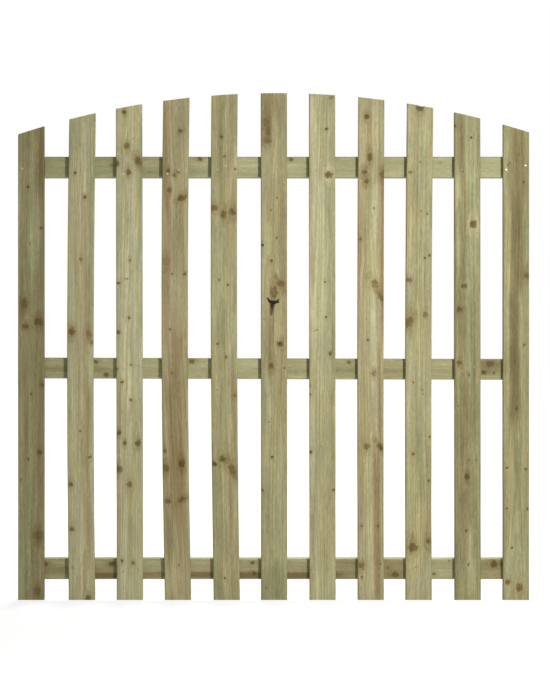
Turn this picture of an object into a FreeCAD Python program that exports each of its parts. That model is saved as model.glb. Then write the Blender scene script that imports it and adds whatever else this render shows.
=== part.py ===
# Picket fence panel with an arched top
#
# Eleven upright pickets are nailed to the front of three horizontal rails. The heads were sawn
# together along one wide arch after nailing, so that the panel is tallest in its middle. The arch
# was struck by hand, a little to the right of the true middle. The boards are common softwood: most
# stand a little out of true, and some are bent sideways.
#
# Frame: X runs along the panel from its left end, Y from front to back, Z up from the pickets' feet.
# The origin is on the flat left end, at the feet, midway through the pickets' thickness.
# Lengths are in millimetres.

import FreeCAD, Part
import math
import os

import Sketcher

SIZES = {
    "panel_width": 1828,
    "crown_height": 1812,
    "arch_rise": 144,
    "arch_off_middle": 11,
    "picket_width": 94,
    "picket_thickness": 18,
    "picket_edge_round": 4,
    "rail_width": 75,
    "rail_thickness": 38,
    "rail_edge_round": 5,
    "top_rail_below_crown": 224,
    "bottom_rail_above_foot": 70.5,
    "middle_rail_fall": 5.5,
}

# How far each board strays to the right of its even place, at its foot and at its head, and how far
# it bends to the right between them at mid-height. The outer two stand true on the panel's ends.
PICKET_STRAYS = [
    (0, 0, 0),
    (8, 10, -7),
    (6, 3, 0),
    (5, -1, -9),
    (6, -2, -6),
    (2, 1, 0),
    (2, 0, 0),
    (1, 3, -2),
    (-1, 4, -3.5),
    (1, -1, 0),
    (0, 0, 0),
]
LAST_PICKET = len(PICKET_STRAYS)
SPACES = LAST_PICKET - 1

# Where things stand, as expressions of the sheet's sizes. The middle rail's left end hangs midway
# between the other two rails.
ARCH_RADIUS = "(Sizes.panel_width ^ 2 / 4 + Sizes.arch_rise ^ 2) / (2 * Sizes.arch_rise)"
ARCH_MIDDLE = "(Sizes.panel_width / 2 + Sizes.arch_off_middle)"
PICKET_STEP = f"(Sizes.panel_width - Sizes.picket_width) / {SPACES}"
BOTTOM_UNDERSIDE = "Sizes.bottom_rail_above_foot"
TOP_UNDERSIDE = "(Sizes.crown_height - Sizes.top_rail_below_crown - Sizes.rail_width)"
MIDDLE_UNDERSIDE = f"({BOTTOM_UNDERSIDE} + {TOP_UNDERSIDE}) / 2"


class Mark:
    """The numbers by which a sketch knows its two axes, and a shape's start, end and centre."""

    ACROSS_AXIS = -1
    UP_AXIS = -2
    START = 1
    END = 2
    CENTRE = 3


def picket_label(number):
    return f"picket_{number:02d}"


def make_sizes_sheet(document):
    """Write every driving dimension into a spreadsheet, each cell with an alias of the same name."""
    sizes = dict(SIZES)
    for number, (foot, head, bend) in enumerate(PICKET_STRAYS, start=1):
        sizes[f"{picket_label(number)}_foot"] = foot
        sizes[f"{picket_label(number)}_head"] = head
        sizes[f"{picket_label(number)}_bend"] = bend
    sheet = document.addObject("Spreadsheet::Sheet", "Sizes")
    for row, (alias, value) in enumerate(sizes.items(), start=1):
        sheet.set(f"A{row}", alias)
        sheet.set(f"B{row}", str(value))
        sheet.setAlias(f"B{row}", alias)
    document.recompute()
    return sheet


def new_body(document, label):
    """A body with an upright sketch in the plane where the pickets lie against the rails."""
    body = document.addObject("PartDesign::Body", label)
    body.Label = label
    body.setExpression("Placement.Base.y", "Sizes.picket_thickness / 2")
    sketch = body.newObject("Sketcher::SketchObject", f"{label}_outline")
    upright = next(plane for plane in body.Origin.OriginFeatures if plane.Role == "XZ_Plane")
    sketch.AttachmentSupport = [(upright, "")]
    sketch.MapMode = "FlatFace"
    return body, sketch


def bind(sketch, name, constraint, expression):
    """Add a dimension to a sketch and let the sheet drive it."""
    index = sketch.addConstraint(constraint)
    sketch.renameConstraint(index, name)
    sketch.setExpression(f"Constraints.{name}", expression)


def bind_across(sketch, name, shape, point, expression):
    """Let the sheet drive how far a drawn point is to the right of the sketch's origin."""
    drawn = sketch.getPoint(shape, point).x
    bind(
        sketch,
        name,
        Sketcher.Constraint("DistanceX", Mark.ACROSS_AXIS, Mark.START, shape, point, drawn),
        expression,
    )


def bind_up(sketch, name, shape, point, expression):
    """Let the sheet drive how far a drawn point is above the sketch's origin."""
    drawn = sketch.getPoint(shape, point).y
    bind(
        sketch,
        name,
        Sketcher.Constraint("DistanceY", Mark.ACROSS_AXIS, Mark.START, shape, point, drawn),
        expression,
    )


def join_ends(sketch, joints):
    for first, first_end, second, second_end in joints:
        sketch.addConstraint(
            Sketcher.Constraint("Coincident", first, first_end, second, second_end)
        )


def saw_out(body, sketch, thickness_size, to_the_back):
    """Give an outline its thickness, to the front of the meeting plane or to the back."""
    pad = body.newObject("PartDesign::Pad", f"{body.Label}_timber")
    pad.Profile = sketch
    pad.Reversed = to_the_back
    pad.setExpression("Length", f"Sizes.{thickness_size}")
    body.Document.recompute()
    return pad


def round_long_edges(body, pad, radius_size, shortest):
    """Round the edges that run along the grain; the sawn ends stay crisp."""
    long_edges = [
        f"Edge{index}"
        for index, edge in enumerate(pad.Shape.Edges, start=1)
        if edge.Length > shortest
    ]
    fillet = body.newObject("PartDesign::Fillet", f"{body.Label}_edges")
    fillet.Base = (pad, long_edges)
    fillet.setExpression("Radius", f"Sizes.{radius_size}")
    body.Tip = fillet


def picket_centre(number):
    """The even place of a picket along the panel, as an expression of the sheet's sizes."""
    return f"(Sizes.picket_width / 2 + {number - 1} * {PICKET_STEP})"


def panel_arch(sheet, number):
    """The circle that all the heads are sawn to, drawn from one picket's even place."""
    half_panel = sheet.panel_width / 2
    radius = (half_panel**2 + sheet.arch_rise**2) / (2 * sheet.arch_rise)
    step = (sheet.panel_width - sheet.picket_width) / SPACES
    arch_middle = half_panel + sheet.arch_off_middle
    to_middle = arch_middle - sheet.picket_width / 2 - (number - 1) * step
    centre = FreeCAD.Vector(to_middle, sheet.crown_height - radius, 0)
    return Part.Circle(centre, FreeCAD.Vector(0, 0, 1), radius)


def make_picket(document, sheet, number):
    """One board: a straight foot, two sides that may bend, and a head sawn along the panel's arch."""
    label = picket_label(number)
    body, sketch = new_body(document, label)
    body.setExpression("Placement.Base.x", picket_centre(number))
    bent = sheet.get(f"{label}_bend") != 0

    right = add_side(sketch, sheet, number, 1, bent)
    left = add_side(sketch, sheet, number, -1, bent)
    foot = sketch.addGeometry(
        Part.LineSegment(sketch.getPoint(left, Mark.START), sketch.getPoint(right, Mark.START))
    )
    arch = panel_arch(sheet, number)
    right_angle, left_angle = (
        math.acos((sketch.getPoint(side, Mark.END).x - arch.Center.x) / arch.Radius)
        for side in (right, left)
    )
    head = sketch.addGeometry(Part.ArcOfCircle(arch, right_angle, left_angle))
    join_ends(
        sketch,
        [
            (foot, Mark.END, right, Mark.START),
            (right, Mark.END, head, Mark.START),
            (head, Mark.END, left, Mark.END),
            (left, Mark.START, foot, Mark.START),
        ],
    )
    sketch.addConstraint(Sketcher.Constraint("PointOnObject", foot, Mark.START, Mark.ACROSS_AXIS))
    sketch.addConstraint(Sketcher.Constraint("PointOnObject", foot, Mark.END, Mark.ACROSS_AXIS))

    bind_across(
        sketch, "arch_across", head, Mark.CENTRE, f"{ARCH_MIDDLE} - {picket_centre(number)}"
    )
    bind_up(sketch, "arch_up", head, Mark.CENTRE, f"Sizes.crown_height - {ARCH_RADIUS}")
    bind(sketch, "arch_radius", Sketcher.Constraint("Radius", head, arch.Radius), ARCH_RADIUS)
    for name, side, sign in (("right", right, "+"), ("left", left, "-")):
        out_to_side = f"{sign} Sizes.picket_width / 2"
        bind_across(sketch, f"{name}_foot", side, Mark.START, f"Sizes.{label}_foot {out_to_side}")
        bind_across(sketch, f"{name}_head", side, Mark.END, f"Sizes.{label}_head {out_to_side}")
        if bent:
            pull = f"(Sizes.{label}_foot + Sizes.{label}_head) / 2 + 2 * Sizes.{label}_bend"
            bind_pull(sketch, side, name, f"{pull} {out_to_side}")

    pad = saw_out(body, sketch, "picket_thickness", to_the_back=False)
    round_long_edges(body, pad, "picket_edge_round", 2 * sheet.picket_width)
    return body


def add_side(sketch, sheet, number, sign, bent):
    """Draw a board's side from foot to head: a line, or a parabola where the board bends.

    The parabola is a curve with three poles. Its middle pole stands at half the crown's height,
    twice as far out of line as the bend itself.
    """
    label = picket_label(number)
    foot = sheet.get(f"{label}_foot") + sign * sheet.picket_width / 2
    head = sheet.get(f"{label}_head") + sign * sheet.picket_width / 2
    pull = (foot + head) / 2 + 2 * sheet.get(f"{label}_bend")
    arch = panel_arch(sheet, number)
    foot_point = FreeCAD.Vector(foot, 0, 0)
    head_point = arch.value(math.acos((head - arch.Center.x) / arch.Radius))
    if not bent:
        return sketch.addGeometry(Part.LineSegment(foot_point, head_point))
    pull_point = FreeCAD.Vector(pull, sheet.crown_height / 2, 0)
    curve = Part.BSplineCurve()
    curve.buildFromPolesMultsKnots([foot_point, pull_point, head_point], [3, 3], [0, 1], False, 2)
    return sketch.addGeometry(curve)


def bind_pull(sketch, side, name, across):
    """Show a bent side's poles and let the sheet drive the middle one."""
    foot_pole = sketch.GeometryCount
    sketch.exposeInternalGeometry(side)
    pull_pole = foot_pole + 1
    bind_across(sketch, f"{name}_pull", pull_pole, Mark.CENTRE, across)
    bind_up(sketch, f"{name}_pull_up", pull_pole, Mark.CENTRE, "Sizes.crown_height / 2")


def make_rail(document, sheet, label, left_underside, fall=None):
    """One rail along the back of the pickets, with plumb ends flush with the outer pickets."""
    body, sketch = new_body(document, label)

    # Drawn at the foot of the panel first. The dimensions below carry it up to its place.
    width = sheet.panel_width
    height = sheet.rail_width
    corners = [
        FreeCAD.Vector(0, 0, 0),
        FreeCAD.Vector(width, 0, 0),
        FreeCAD.Vector(width, height, 0),
        FreeCAD.Vector(0, height, 0),
    ]
    underside, right_end, top, left_end = (
        sketch.addGeometry(Part.LineSegment(start, end))
        for start, end in zip(corners, corners[1:] + corners[:1])
    )
    join_ends(
        sketch,
        [
            (underside, Mark.END, right_end, Mark.START),
            (right_end, Mark.END, top, Mark.START),
            (top, Mark.END, left_end, Mark.START),
            (left_end, Mark.END, underside, Mark.START),
        ],
    )
    sketch.addConstraint(Sketcher.Constraint("Vertical", right_end))
    sketch.addConstraint(Sketcher.Constraint("PointOnObject", left_end, Mark.START, Mark.UP_AXIS))
    sketch.addConstraint(Sketcher.Constraint("PointOnObject", left_end, Mark.END, Mark.UP_AXIS))

    right_underside = left_underside
    if fall:
        right_underside = f"{left_underside} - {fall}"
    bind_across(sketch, "length", underside, Mark.END, "Sizes.panel_width")
    bind_up(sketch, "left_underside", underside, Mark.START, left_underside)
    bind_up(sketch, "right_underside", underside, Mark.END, right_underside)
    bind_up(sketch, "right_top", top, Mark.START, f"{right_underside} + Sizes.rail_width")
    bind_up(sketch, "left_top", top, Mark.END, f"{left_underside} + Sizes.rail_width")

    pad = saw_out(body, sketch, "rail_thickness", to_the_back=True)
    round_long_edges(body, pad, "rail_edge_round", width / 2)
    return body


def check(document, bodies):
    """Stop before anything is written if an object failed or a piece isn't one valid solid."""
    for item in document.Objects:
        if "Invalid" in item.State or "Error" in item.State:
            raise RuntimeError(f"{item.Label} failed: {item.State}")
    for body in bodies:
        shape = body.Shape
        if shape.isNull() or not shape.isValid() or len(shape.Solids) != 1:
            raise RuntimeError(f"{body.Label} isn't one valid solid")


def main():
    document = FreeCAD.newDocument("picket_fence_panel")
    sheet = make_sizes_sheet(document)
    bodies = [make_picket(document, sheet, number) for number in range(1, LAST_PICKET + 1)]
    bodies.append(make_rail(document, sheet, "top_rail", TOP_UNDERSIDE))
    bodies.append(
        make_rail(document, sheet, "middle_rail", MIDDLE_UNDERSIDE, "Sizes.middle_rail_fall")
    )
    bodies.append(make_rail(document, sheet, "bottom_rail", BOTTOM_UNDERSIDE))
    document.recompute()
    check(document, bodies)

    os.makedirs("parts", exist_ok=True)
    for body in bodies:
        body.Shape.exportStep(f"parts/{body.Label}.step")
        box = body.Shape.optimalBoundingBox()
        print(
            f"{body.Label}: x {box.XMin:.1f} to {box.XMax:.1f}, y {box.YMin:.1f} to {box.YMax:.1f},"
            f" z {box.ZMin:.1f} to {box.ZMax:.1f}, volume {body.Shape.Volume:.0f}"
        )


main()
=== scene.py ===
# %% [markdown]
# # A picket fence panel with an arched top
#
# Eleven upright boards, called pickets, are nailed to the front of three horizontal rails. The panel
# is pressure-treated softwood: pale green-brown, with brown knots, warm heartwood and long soft
# streaks. Every board is different, so most of this lesson is about giving each its own character.
#
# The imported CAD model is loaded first. It says where each board stands, and the dressed boards that
# are made here stand exactly in its place.

import math

import bpy
import numpy as np
from mathutils import Matrix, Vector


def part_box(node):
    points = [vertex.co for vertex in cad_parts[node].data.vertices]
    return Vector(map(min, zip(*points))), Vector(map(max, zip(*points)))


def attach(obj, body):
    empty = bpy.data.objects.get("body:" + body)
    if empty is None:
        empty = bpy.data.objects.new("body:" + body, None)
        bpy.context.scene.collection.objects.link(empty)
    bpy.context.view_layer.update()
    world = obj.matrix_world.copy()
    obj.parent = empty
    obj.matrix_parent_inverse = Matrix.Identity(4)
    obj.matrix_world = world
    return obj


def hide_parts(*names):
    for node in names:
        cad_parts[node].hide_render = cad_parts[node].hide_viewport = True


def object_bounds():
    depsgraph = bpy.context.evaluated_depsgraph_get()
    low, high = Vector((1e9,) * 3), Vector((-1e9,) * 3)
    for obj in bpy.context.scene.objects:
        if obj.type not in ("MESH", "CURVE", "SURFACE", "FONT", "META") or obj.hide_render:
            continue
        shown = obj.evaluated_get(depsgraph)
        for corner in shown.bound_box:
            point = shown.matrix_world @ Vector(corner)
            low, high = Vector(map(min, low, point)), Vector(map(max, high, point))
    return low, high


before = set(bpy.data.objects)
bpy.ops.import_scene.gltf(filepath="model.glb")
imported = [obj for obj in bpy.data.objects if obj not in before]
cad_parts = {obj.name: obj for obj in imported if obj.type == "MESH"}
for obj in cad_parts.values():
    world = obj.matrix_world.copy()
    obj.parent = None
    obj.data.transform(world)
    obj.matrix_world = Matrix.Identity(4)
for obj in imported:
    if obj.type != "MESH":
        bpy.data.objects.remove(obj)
cad_low, cad_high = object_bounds()
PICKETS = sorted(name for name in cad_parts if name.startswith("picket_"))
RAILS = ["top_rail", "middle_rail", "bottom_rail"]
MM = 0.001
print("panel from", tuple(cad_low), "to", tuple(cad_high), "with", len(PICKETS), "pickets")

# %% [markdown]
# ## Camera
#
# The photograph was taken square to the panel's front from a few metres away, at a bit less than
# half the panel's height. The sides of the outer pickets just show, and so does the top of the
# bottom rail, which tells how near the camera stood. A camera that looks level along Y keeps all
# the boards upright in the picture.

# %% Camera
PICTURE_HEIGHT = 700
PICTURE_MIDDLE = (275, 350)
PANEL_LEFT_IN_PICTURE = 17.87
FEET_IN_PICTURE = 600
MM_PER_PIXEL = 3.5745
SENSOR = 36
DISTANCE = 4.8

front_y = cad_low.y
camera_x = (PICTURE_MIDDLE[0] - PANEL_LEFT_IN_PICTURE) * MM_PER_PIXEL * MM
camera_z = (FEET_IN_PICTURE - PICTURE_MIDDLE[1]) * MM_PER_PIXEL * MM
seen_height = PICTURE_HEIGHT * MM_PER_PIXEL * MM

camera_data = bpy.data.cameras.new("Camera")
camera_data.sensor_width = SENSOR
camera_data.lens = SENSOR * DISTANCE / seen_height
camera = bpy.data.objects.new("Camera", camera_data)
camera.location = (camera_x, front_y - DISTANCE, camera_z)
camera.rotation_euler = (math.radians(90), 0, 0)
bpy.context.scene.collection.objects.link(camera)
bpy.context.scene.camera = camera
print("lens", round(camera_data.lens, 1), "mm at", tuple(camera.location))


def from_picture(across, down, y=front_y):
    """The place in metres, on an upright plane at y, that shows at a pixel of the picture."""
    reach = (DISTANCE + y - front_y) / DISTANCE
    x = camera_x + (across - PICTURE_MIDDLE[0]) * MM_PER_PIXEL * MM * reach
    z = camera_z - (down - PICTURE_MIDDLE[1]) * MM_PER_PIXEL * MM * reach
    return x, z


# %% [markdown]
# ## Node helpers
#
# Materials here are built from many small nodes. Three short helpers keep the recipes readable: one
# adds a node, one does sums, and one turns a range of values into a mask.

# %% Node helpers
def add_node(tree, kind, **settings):
    node = tree.nodes.new(kind)
    for name, value in settings.items():
        setattr(node, name, value)
    return node


def feed(tree, socket, value):
    """Join a socket to another node's output, or set it to a plain value."""
    if isinstance(value, bpy.types.NodeSocket):
        tree.links.new(value, socket)
    else:
        socket.default_value = value


def sum_up(tree, operation, *values):
    node = add_node(tree, "ShaderNodeMath", operation=operation)
    for socket, value in zip(node.inputs, values):
        feed(tree, socket, value)
    return node.outputs[0]


def vector_sum(tree, operation, *values):
    node = add_node(tree, "ShaderNodeVectorMath", operation=operation)
    for socket, value in zip(node.inputs, values):
        feed(tree, socket, value)
    return node.outputs["Value" if operation == "LENGTH" else "Vector"]


def mask_between(tree, value, low, high, to_low=0.0, to_high=1.0):
    """A mask that rises smoothly while a value goes from low to high."""
    node = add_node(tree, "ShaderNodeMapRange", interpolation_type="SMOOTHSTEP")
    for name, source in (
        ("Value", value),
        ("From Min", low),
        ("From Max", high),
        ("To Min", to_low),
        ("To Max", to_high),
    ):
        feed(tree, node.inputs[name], source)
    return node.outputs["Result"]


def mix_colours(tree, amount, first, second, blend="MIX"):
    node = add_node(tree, "ShaderNodeMix", data_type="RGBA", blend_type=blend)
    feed(tree, node.inputs["Factor"], amount)
    feed(tree, node.inputs[6], first)
    feed(tree, node.inputs[7], second)
    return node.outputs[2]


def cloud(tree, place, stretch, detail=2.0, roughness=0.5):
    """Noise between 0 and 1, finer along an axis where the stretch is larger."""
    scaled = vector_sum(tree, "MULTIPLY", place, stretch)
    node = add_node(tree, "ShaderNodeTexNoise")
    feed(tree, node.inputs["Vector"], scaled)
    node.inputs["Scale"].default_value = 1.0
    node.inputs["Detail"].default_value = detail
    node.inputs["Roughness"].default_value = roughness
    return node.outputs["Fac"]


def new_group(name, inputs, outputs):
    """A shader node group with named sockets, and its two end nodes."""
    group = bpy.data.node_groups.new(name, "ShaderNodeTree")
    for socket_name, kind, value in inputs:
        socket = group.interface.new_socket(socket_name, in_out="INPUT", socket_type=kind)
        if value is not None:
            socket.default_value = value
    for socket_name, kind in outputs:
        group.interface.new_socket(socket_name, in_out="OUTPUT", socket_type=kind)
    start = group.nodes.new("NodeGroupInput")
    end = group.nodes.new("NodeGroupOutput")
    return group, start, end


def paint(red, green, blue):
    """A colour as a picture shows it, from 0 to 255, turned into the linear values that nodes use."""
    shares = [value / 255 for value in (red, green, blue)]
    linear = [s / 12.92 if s <= 0.04045 else ((s + 0.055) / 1.055) ** 2.4 for s in shares]
    return (*linear, 1.0)


# %% [markdown]
# ## Floor and background
#
# The panel stands in front of plain white. A pale floor keeps the faint shadow that the panel casts,
# and light bounces from it as it would in a studio. Light Path tells the rays of the camera from the
# rays of the light: the camera, a gloss and a glass see white, and the light sees an ordinary floor.
# Far from the panel the floor fades to full white, so that no horizon shows.

# %% Floor
WHITE = (1.0, 1.0, 1.0, 1.0)
FLOOR_SIZE = 60
FLOOR_GLOW = 0.7
FLOOR_SHADE = 0.46
FLOOR_NEAR = 1.2
FLOOR_FAR = 3.5
FLOOR_BOUNCE = 0.75
FLOOR_LIGHT = 0.12


def seen_directly(tree):
    """1 for rays that show the background as it is, and 0 for rays that carry light about."""
    path = add_node(tree, "ShaderNodeLightPath")
    seen = sum_up(tree, "MAXIMUM", path.outputs["Is Camera Ray"], path.outputs["Is Glossy Ray"])
    return sum_up(tree, "MAXIMUM", seen, path.outputs["Is Transmission Ray"])


bpy.ops.object.select_all(action="DESELECT")
bpy.ops.mesh.primitive_plane_add(size=FLOOR_SIZE, location=(camera_x, 0, 0))
floor = bpy.context.object
floor.name = "floor"
floor_material = bpy.data.materials.new("Pale floor")
floor_material.use_nodes = True
tree = floor_material.node_tree
tree.nodes.clear()
glow = add_node(tree, "ShaderNodeEmission")
glow.inputs["Color"].default_value = WHITE
from_panel = vector_sum(tree, "LENGTH", add_node(tree, "ShaderNodeTexCoord").outputs["Object"])
fade = mask_between(tree, from_panel, FLOOR_NEAR, FLOOR_FAR, FLOOR_GLOW, 1.0)
feed(tree, glow.inputs["Strength"], fade)
shade = add_node(tree, "ShaderNodeBsdfDiffuse")
shade.inputs["Color"].default_value = (FLOOR_SHADE, FLOOR_SHADE, FLOOR_SHADE, 1)
bounce = add_node(tree, "ShaderNodeBsdfDiffuse")
bounce.inputs["Color"].default_value = (FLOOR_BOUNCE, FLOOR_BOUNCE, FLOOR_BOUNCE, 1)
soft_light = add_node(tree, "ShaderNodeEmission")
soft_light.inputs["Strength"].default_value = FLOOR_LIGHT
lit = add_node(tree, "ShaderNodeAddShader")
tree.links.new(bounce.outputs[0], lit.inputs[0])
tree.links.new(soft_light.outputs[0], lit.inputs[1])
shown = add_node(tree, "ShaderNodeAddShader")
tree.links.new(glow.outputs[0], shown.inputs[0])
tree.links.new(shade.outputs[0], shown.inputs[1])
choice = add_node(tree, "ShaderNodeMixShader")
tree.links.new(seen_directly(tree), choice.inputs[0])
tree.links.new(lit.outputs[0], choice.inputs[1])
tree.links.new(shown.outputs[0], choice.inputs[2])
surface = add_node(tree, "ShaderNodeOutputMaterial")
tree.links.new(choice.outputs[0], surface.inputs["Surface"])
floor.data.materials.append(floor_material)
print("floor", FLOOR_SIZE, "m wide")

# %% World
FILL_LIGHT = 0.23

world = bpy.data.worlds.new("Studio")
bpy.context.scene.world = world
world.use_nodes = True
tree = world.node_tree
tree.nodes.clear()
fill = add_node(tree, "ShaderNodeBackground")
fill.inputs["Color"].default_value = WHITE
fill.inputs["Strength"].default_value = FILL_LIGHT
white = add_node(tree, "ShaderNodeBackground")
white.inputs["Color"].default_value = WHITE
white.inputs["Strength"].default_value = 1.0
choice = add_node(tree, "ShaderNodeMixShader")
tree.links.new(seen_directly(tree), choice.inputs[0])
tree.links.new(fill.outputs[0], choice.inputs[1])
tree.links.new(white.outputs[0], choice.inputs[2])
sky = add_node(tree, "ShaderNodeOutputWorld")
tree.links.new(choice.outputs[0], sky.inputs["Surface"])
bpy.context.scene.view_settings.view_transform = "Standard"
print("fill light", FILL_LIGHT)

# %% [markdown]
# ## Lamps
#
# The pickets throw narrow crisp shadows to the left on the rails. The shadows are wider at the left
# end than at the right, so the main lamp stood near, in front of the right half of the panel, and
# was small. The top of the bottom rail is brighter than its face, so a second, large and soft lamp
# stands high behind the panel. It also lights the back for the other views.

# %% Lamps
KEY_PLACE = (2.63, -2.6, 1.45)
KEY_SIZE = 0.12
KEY_POWER = 80
BACK_PLACE = (0.9, 2.3, 3.1)
BACK_SIZE = 2.4
BACK_POWER = 118


def add_lamp(name, place, size, power, towards):
    lamp_data = bpy.data.lights.new(name, "AREA")
    lamp_data.shape = "DISK"
    lamp_data.size = size
    lamp_data.energy = power
    lamp = bpy.data.objects.new(name, lamp_data)
    lamp.location = place
    aim = towards - lamp.location
    lamp.rotation_euler = aim.to_track_quat("-Z", "Y").to_euler()
    bpy.context.scene.collection.objects.link(lamp)
    return lamp


panel_middle = (cad_low + cad_high) / 2
add_lamp("Key lamp", KEY_PLACE, KEY_SIZE, KEY_POWER, panel_middle)
add_lamp("Back lamp", BACK_PLACE, BACK_SIZE, BACK_POWER, panel_middle)
print("lamps at", KEY_PLACE, "and", BACK_PLACE)

# %% [markdown]
# ## Sawing a blank
#
# A picket is a flat board with its long edges rounded and its ends sawn square. All eleven are cut
# from the same stock, so one blank is modelled and copied. It starts as a cube of the board's size.
# The four long edges are bevelled, knife cuts divide its faces, and the long edges are subdivided,
# so that the wood has enough points to bend, and to carry knots and grain.

# %% Edit mode helpers
ALONG_X = 0
ALONG_Y = 1
ALONG_Z = 2
PARALLEL = 0.999


def mesh_points(mesh):
    points = np.empty(len(mesh.vertices) * 3)
    mesh.vertices.foreach_get("co", points)
    return points.reshape(-1, 3)


def select_edges_along(board, axis):
    """Leave a board in edit mode with only the edges that run along one axis selected."""
    bpy.ops.object.mode_set(mode="OBJECT")
    mesh = board.data
    ends = np.empty(len(mesh.edges) * 2, dtype=int)
    mesh.edges.foreach_get("vertices", ends)
    points = mesh_points(mesh)[ends.reshape(-1, 2)]
    runs = points[:, 1] - points[:, 0]
    lengths = np.linalg.norm(runs, axis=1)
    chosen = np.abs(runs[:, axis]) > PARALLEL * lengths
    mesh.vertices.foreach_set("select", np.zeros(len(mesh.vertices), dtype=bool))
    mesh.polygons.foreach_set("select", np.zeros(len(mesh.polygons), dtype=bool))
    mesh.edges.foreach_set("select", chosen)
    bpy.context.tool_settings.mesh_select_mode = (False, True, False)
    bpy.ops.object.mode_set(mode="EDIT")


def cut_across(axis, places):
    """Cut the board that is being edited at each of several places along an axis."""
    for place in places:
        point = [0, 0, 0]
        normal = [0, 0, 0]
        point[axis] = place
        normal[axis] = 1
        bpy.ops.mesh.select_all(action="SELECT")
        bpy.ops.mesh.bisect(plane_co=point, plane_no=normal)


def between(low, high, cuts):
    return np.linspace(low, high, cuts + 2)[1:-1]


# %% Saw a blank
ROUND_STEPS = 4
LONG_CUTS = 100
FINE_CUTS = 2


def saw_blank(name, size, edge_round, cuts_across, cuts_deep):
    """An upright board, centred on the Z axis, with its foot at the origin."""
    width, thickness, length = size
    bpy.ops.object.select_all(action="DESELECT")
    bpy.ops.mesh.primitive_cube_add(size=1, location=(0, 0, length / 2), scale=size)
    board = bpy.context.object
    board.name = name
    board.data.name = name
    bpy.ops.object.transform_apply(location=True, rotation=True, scale=True)

    select_edges_along(board, ALONG_Z)
    bpy.ops.mesh.bevel(offset=edge_round, segments=ROUND_STEPS, affect="EDGES")
    flat_width = width / 2 - edge_round
    flat_depth = thickness / 2 - edge_round
    cut_across(ALONG_X, between(-flat_width, flat_width, cuts_across))
    cut_across(ALONG_Y, between(-flat_depth, flat_depth, cuts_deep))
    for cuts in (LONG_CUTS, FINE_CUTS):
        select_edges_along(board, ALONG_Z)
        bpy.ops.mesh.subdivide(number_cuts=cuts)
    bpy.ops.object.mode_set(mode="OBJECT")
    print(name, "has", len(board.data.vertices), "points")
    return board


def copy_blank(blank, name):
    """Copy a blank together with its mesh, so that each board can take its own shape."""
    board = blank.copy()
    board.data = blank.data.copy()
    board.name = name
    board.data.name = name
    bpy.context.scene.collection.objects.link(board)
    return board


# %% [markdown]
# ## Where each board lies
#
# Most pickets stand a little out of true, and some are bent sideways, because softwood moves as it
# dries. The CAD mesh knows exactly how, so each blank is fitted to it. The points of a board's flat
# sides give its left and right edge at every height, and the heads all follow one arch.

# %% Read the boards' outlines from the frame
picket_low, picket_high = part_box("picket_01")
PICKET_THICKNESS = picket_high.y - picket_low.y
PICKET_ROUND = 4 * MM
RAIL_ROUND = 5 * MM
HAIR = 0.05 * MM
HEAD_ZONE = 1.6


def picket_sides(name):
    """A picket's left and right edges, each as rising heights with the X found there."""
    points = mesh_points(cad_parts[name].data)
    flat = np.abs(points[:, 1]) < PICKET_THICKNESS / 2 - PICKET_ROUND + HAIR
    points = points[flat]
    feet = points[points[:, 2] < HAIR]
    heads = points[points[:, 2] > HEAD_ZONE]
    foot_middle = (feet[:, 0].min() + feet[:, 0].max()) / 2
    head_middle = (heads[:, 0].min() + heads[:, 0].max()) / 2
    lean = (head_middle - foot_middle) / cad_high.z
    middle = foot_middle + lean * points[:, 2]
    sides = []
    for side in (points[points[:, 0] < middle], points[points[:, 0] > middle]):
        side = side[np.argsort(side[:, 2])]
        sides.append((side[:, 2], side[:, 0]))
    return sides


OUTLINES = {name: picket_sides(name) for name in PICKETS}
corner_height = (OUTLINES["picket_01"][0][0].max() + OUTLINES["picket_11"][1][0].max()) / 2
half_panel = (cad_high.x - cad_low.x) / 2
arch_rise = cad_high.z - corner_height
arch_radius = (half_panel**2 + arch_rise**2) / (2 * arch_rise)
print("the arch rises", round(arch_rise, 4), "m with a radius of", round(arch_radius, 3), "m")


def head_height(name, share):
    """The height of a picket's sawn head, at a share of the way from its left to its right edge."""
    (left_z, left_x), (right_z, right_x) = OUTLINES[name]
    crown = (right_x[-1] - left_x[-1]) ** 2 / (8 * arch_radius)
    return left_z[-1] + share * (right_z[-1] - left_z[-1]) + 4 * crown * share * (1 - share)


def picket_middle(name, height):
    """The X of a picket's centreline at a height."""
    left, right = (np.interp(height, *side) for side in OUTLINES[name])
    return (left + right) / 2
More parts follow.
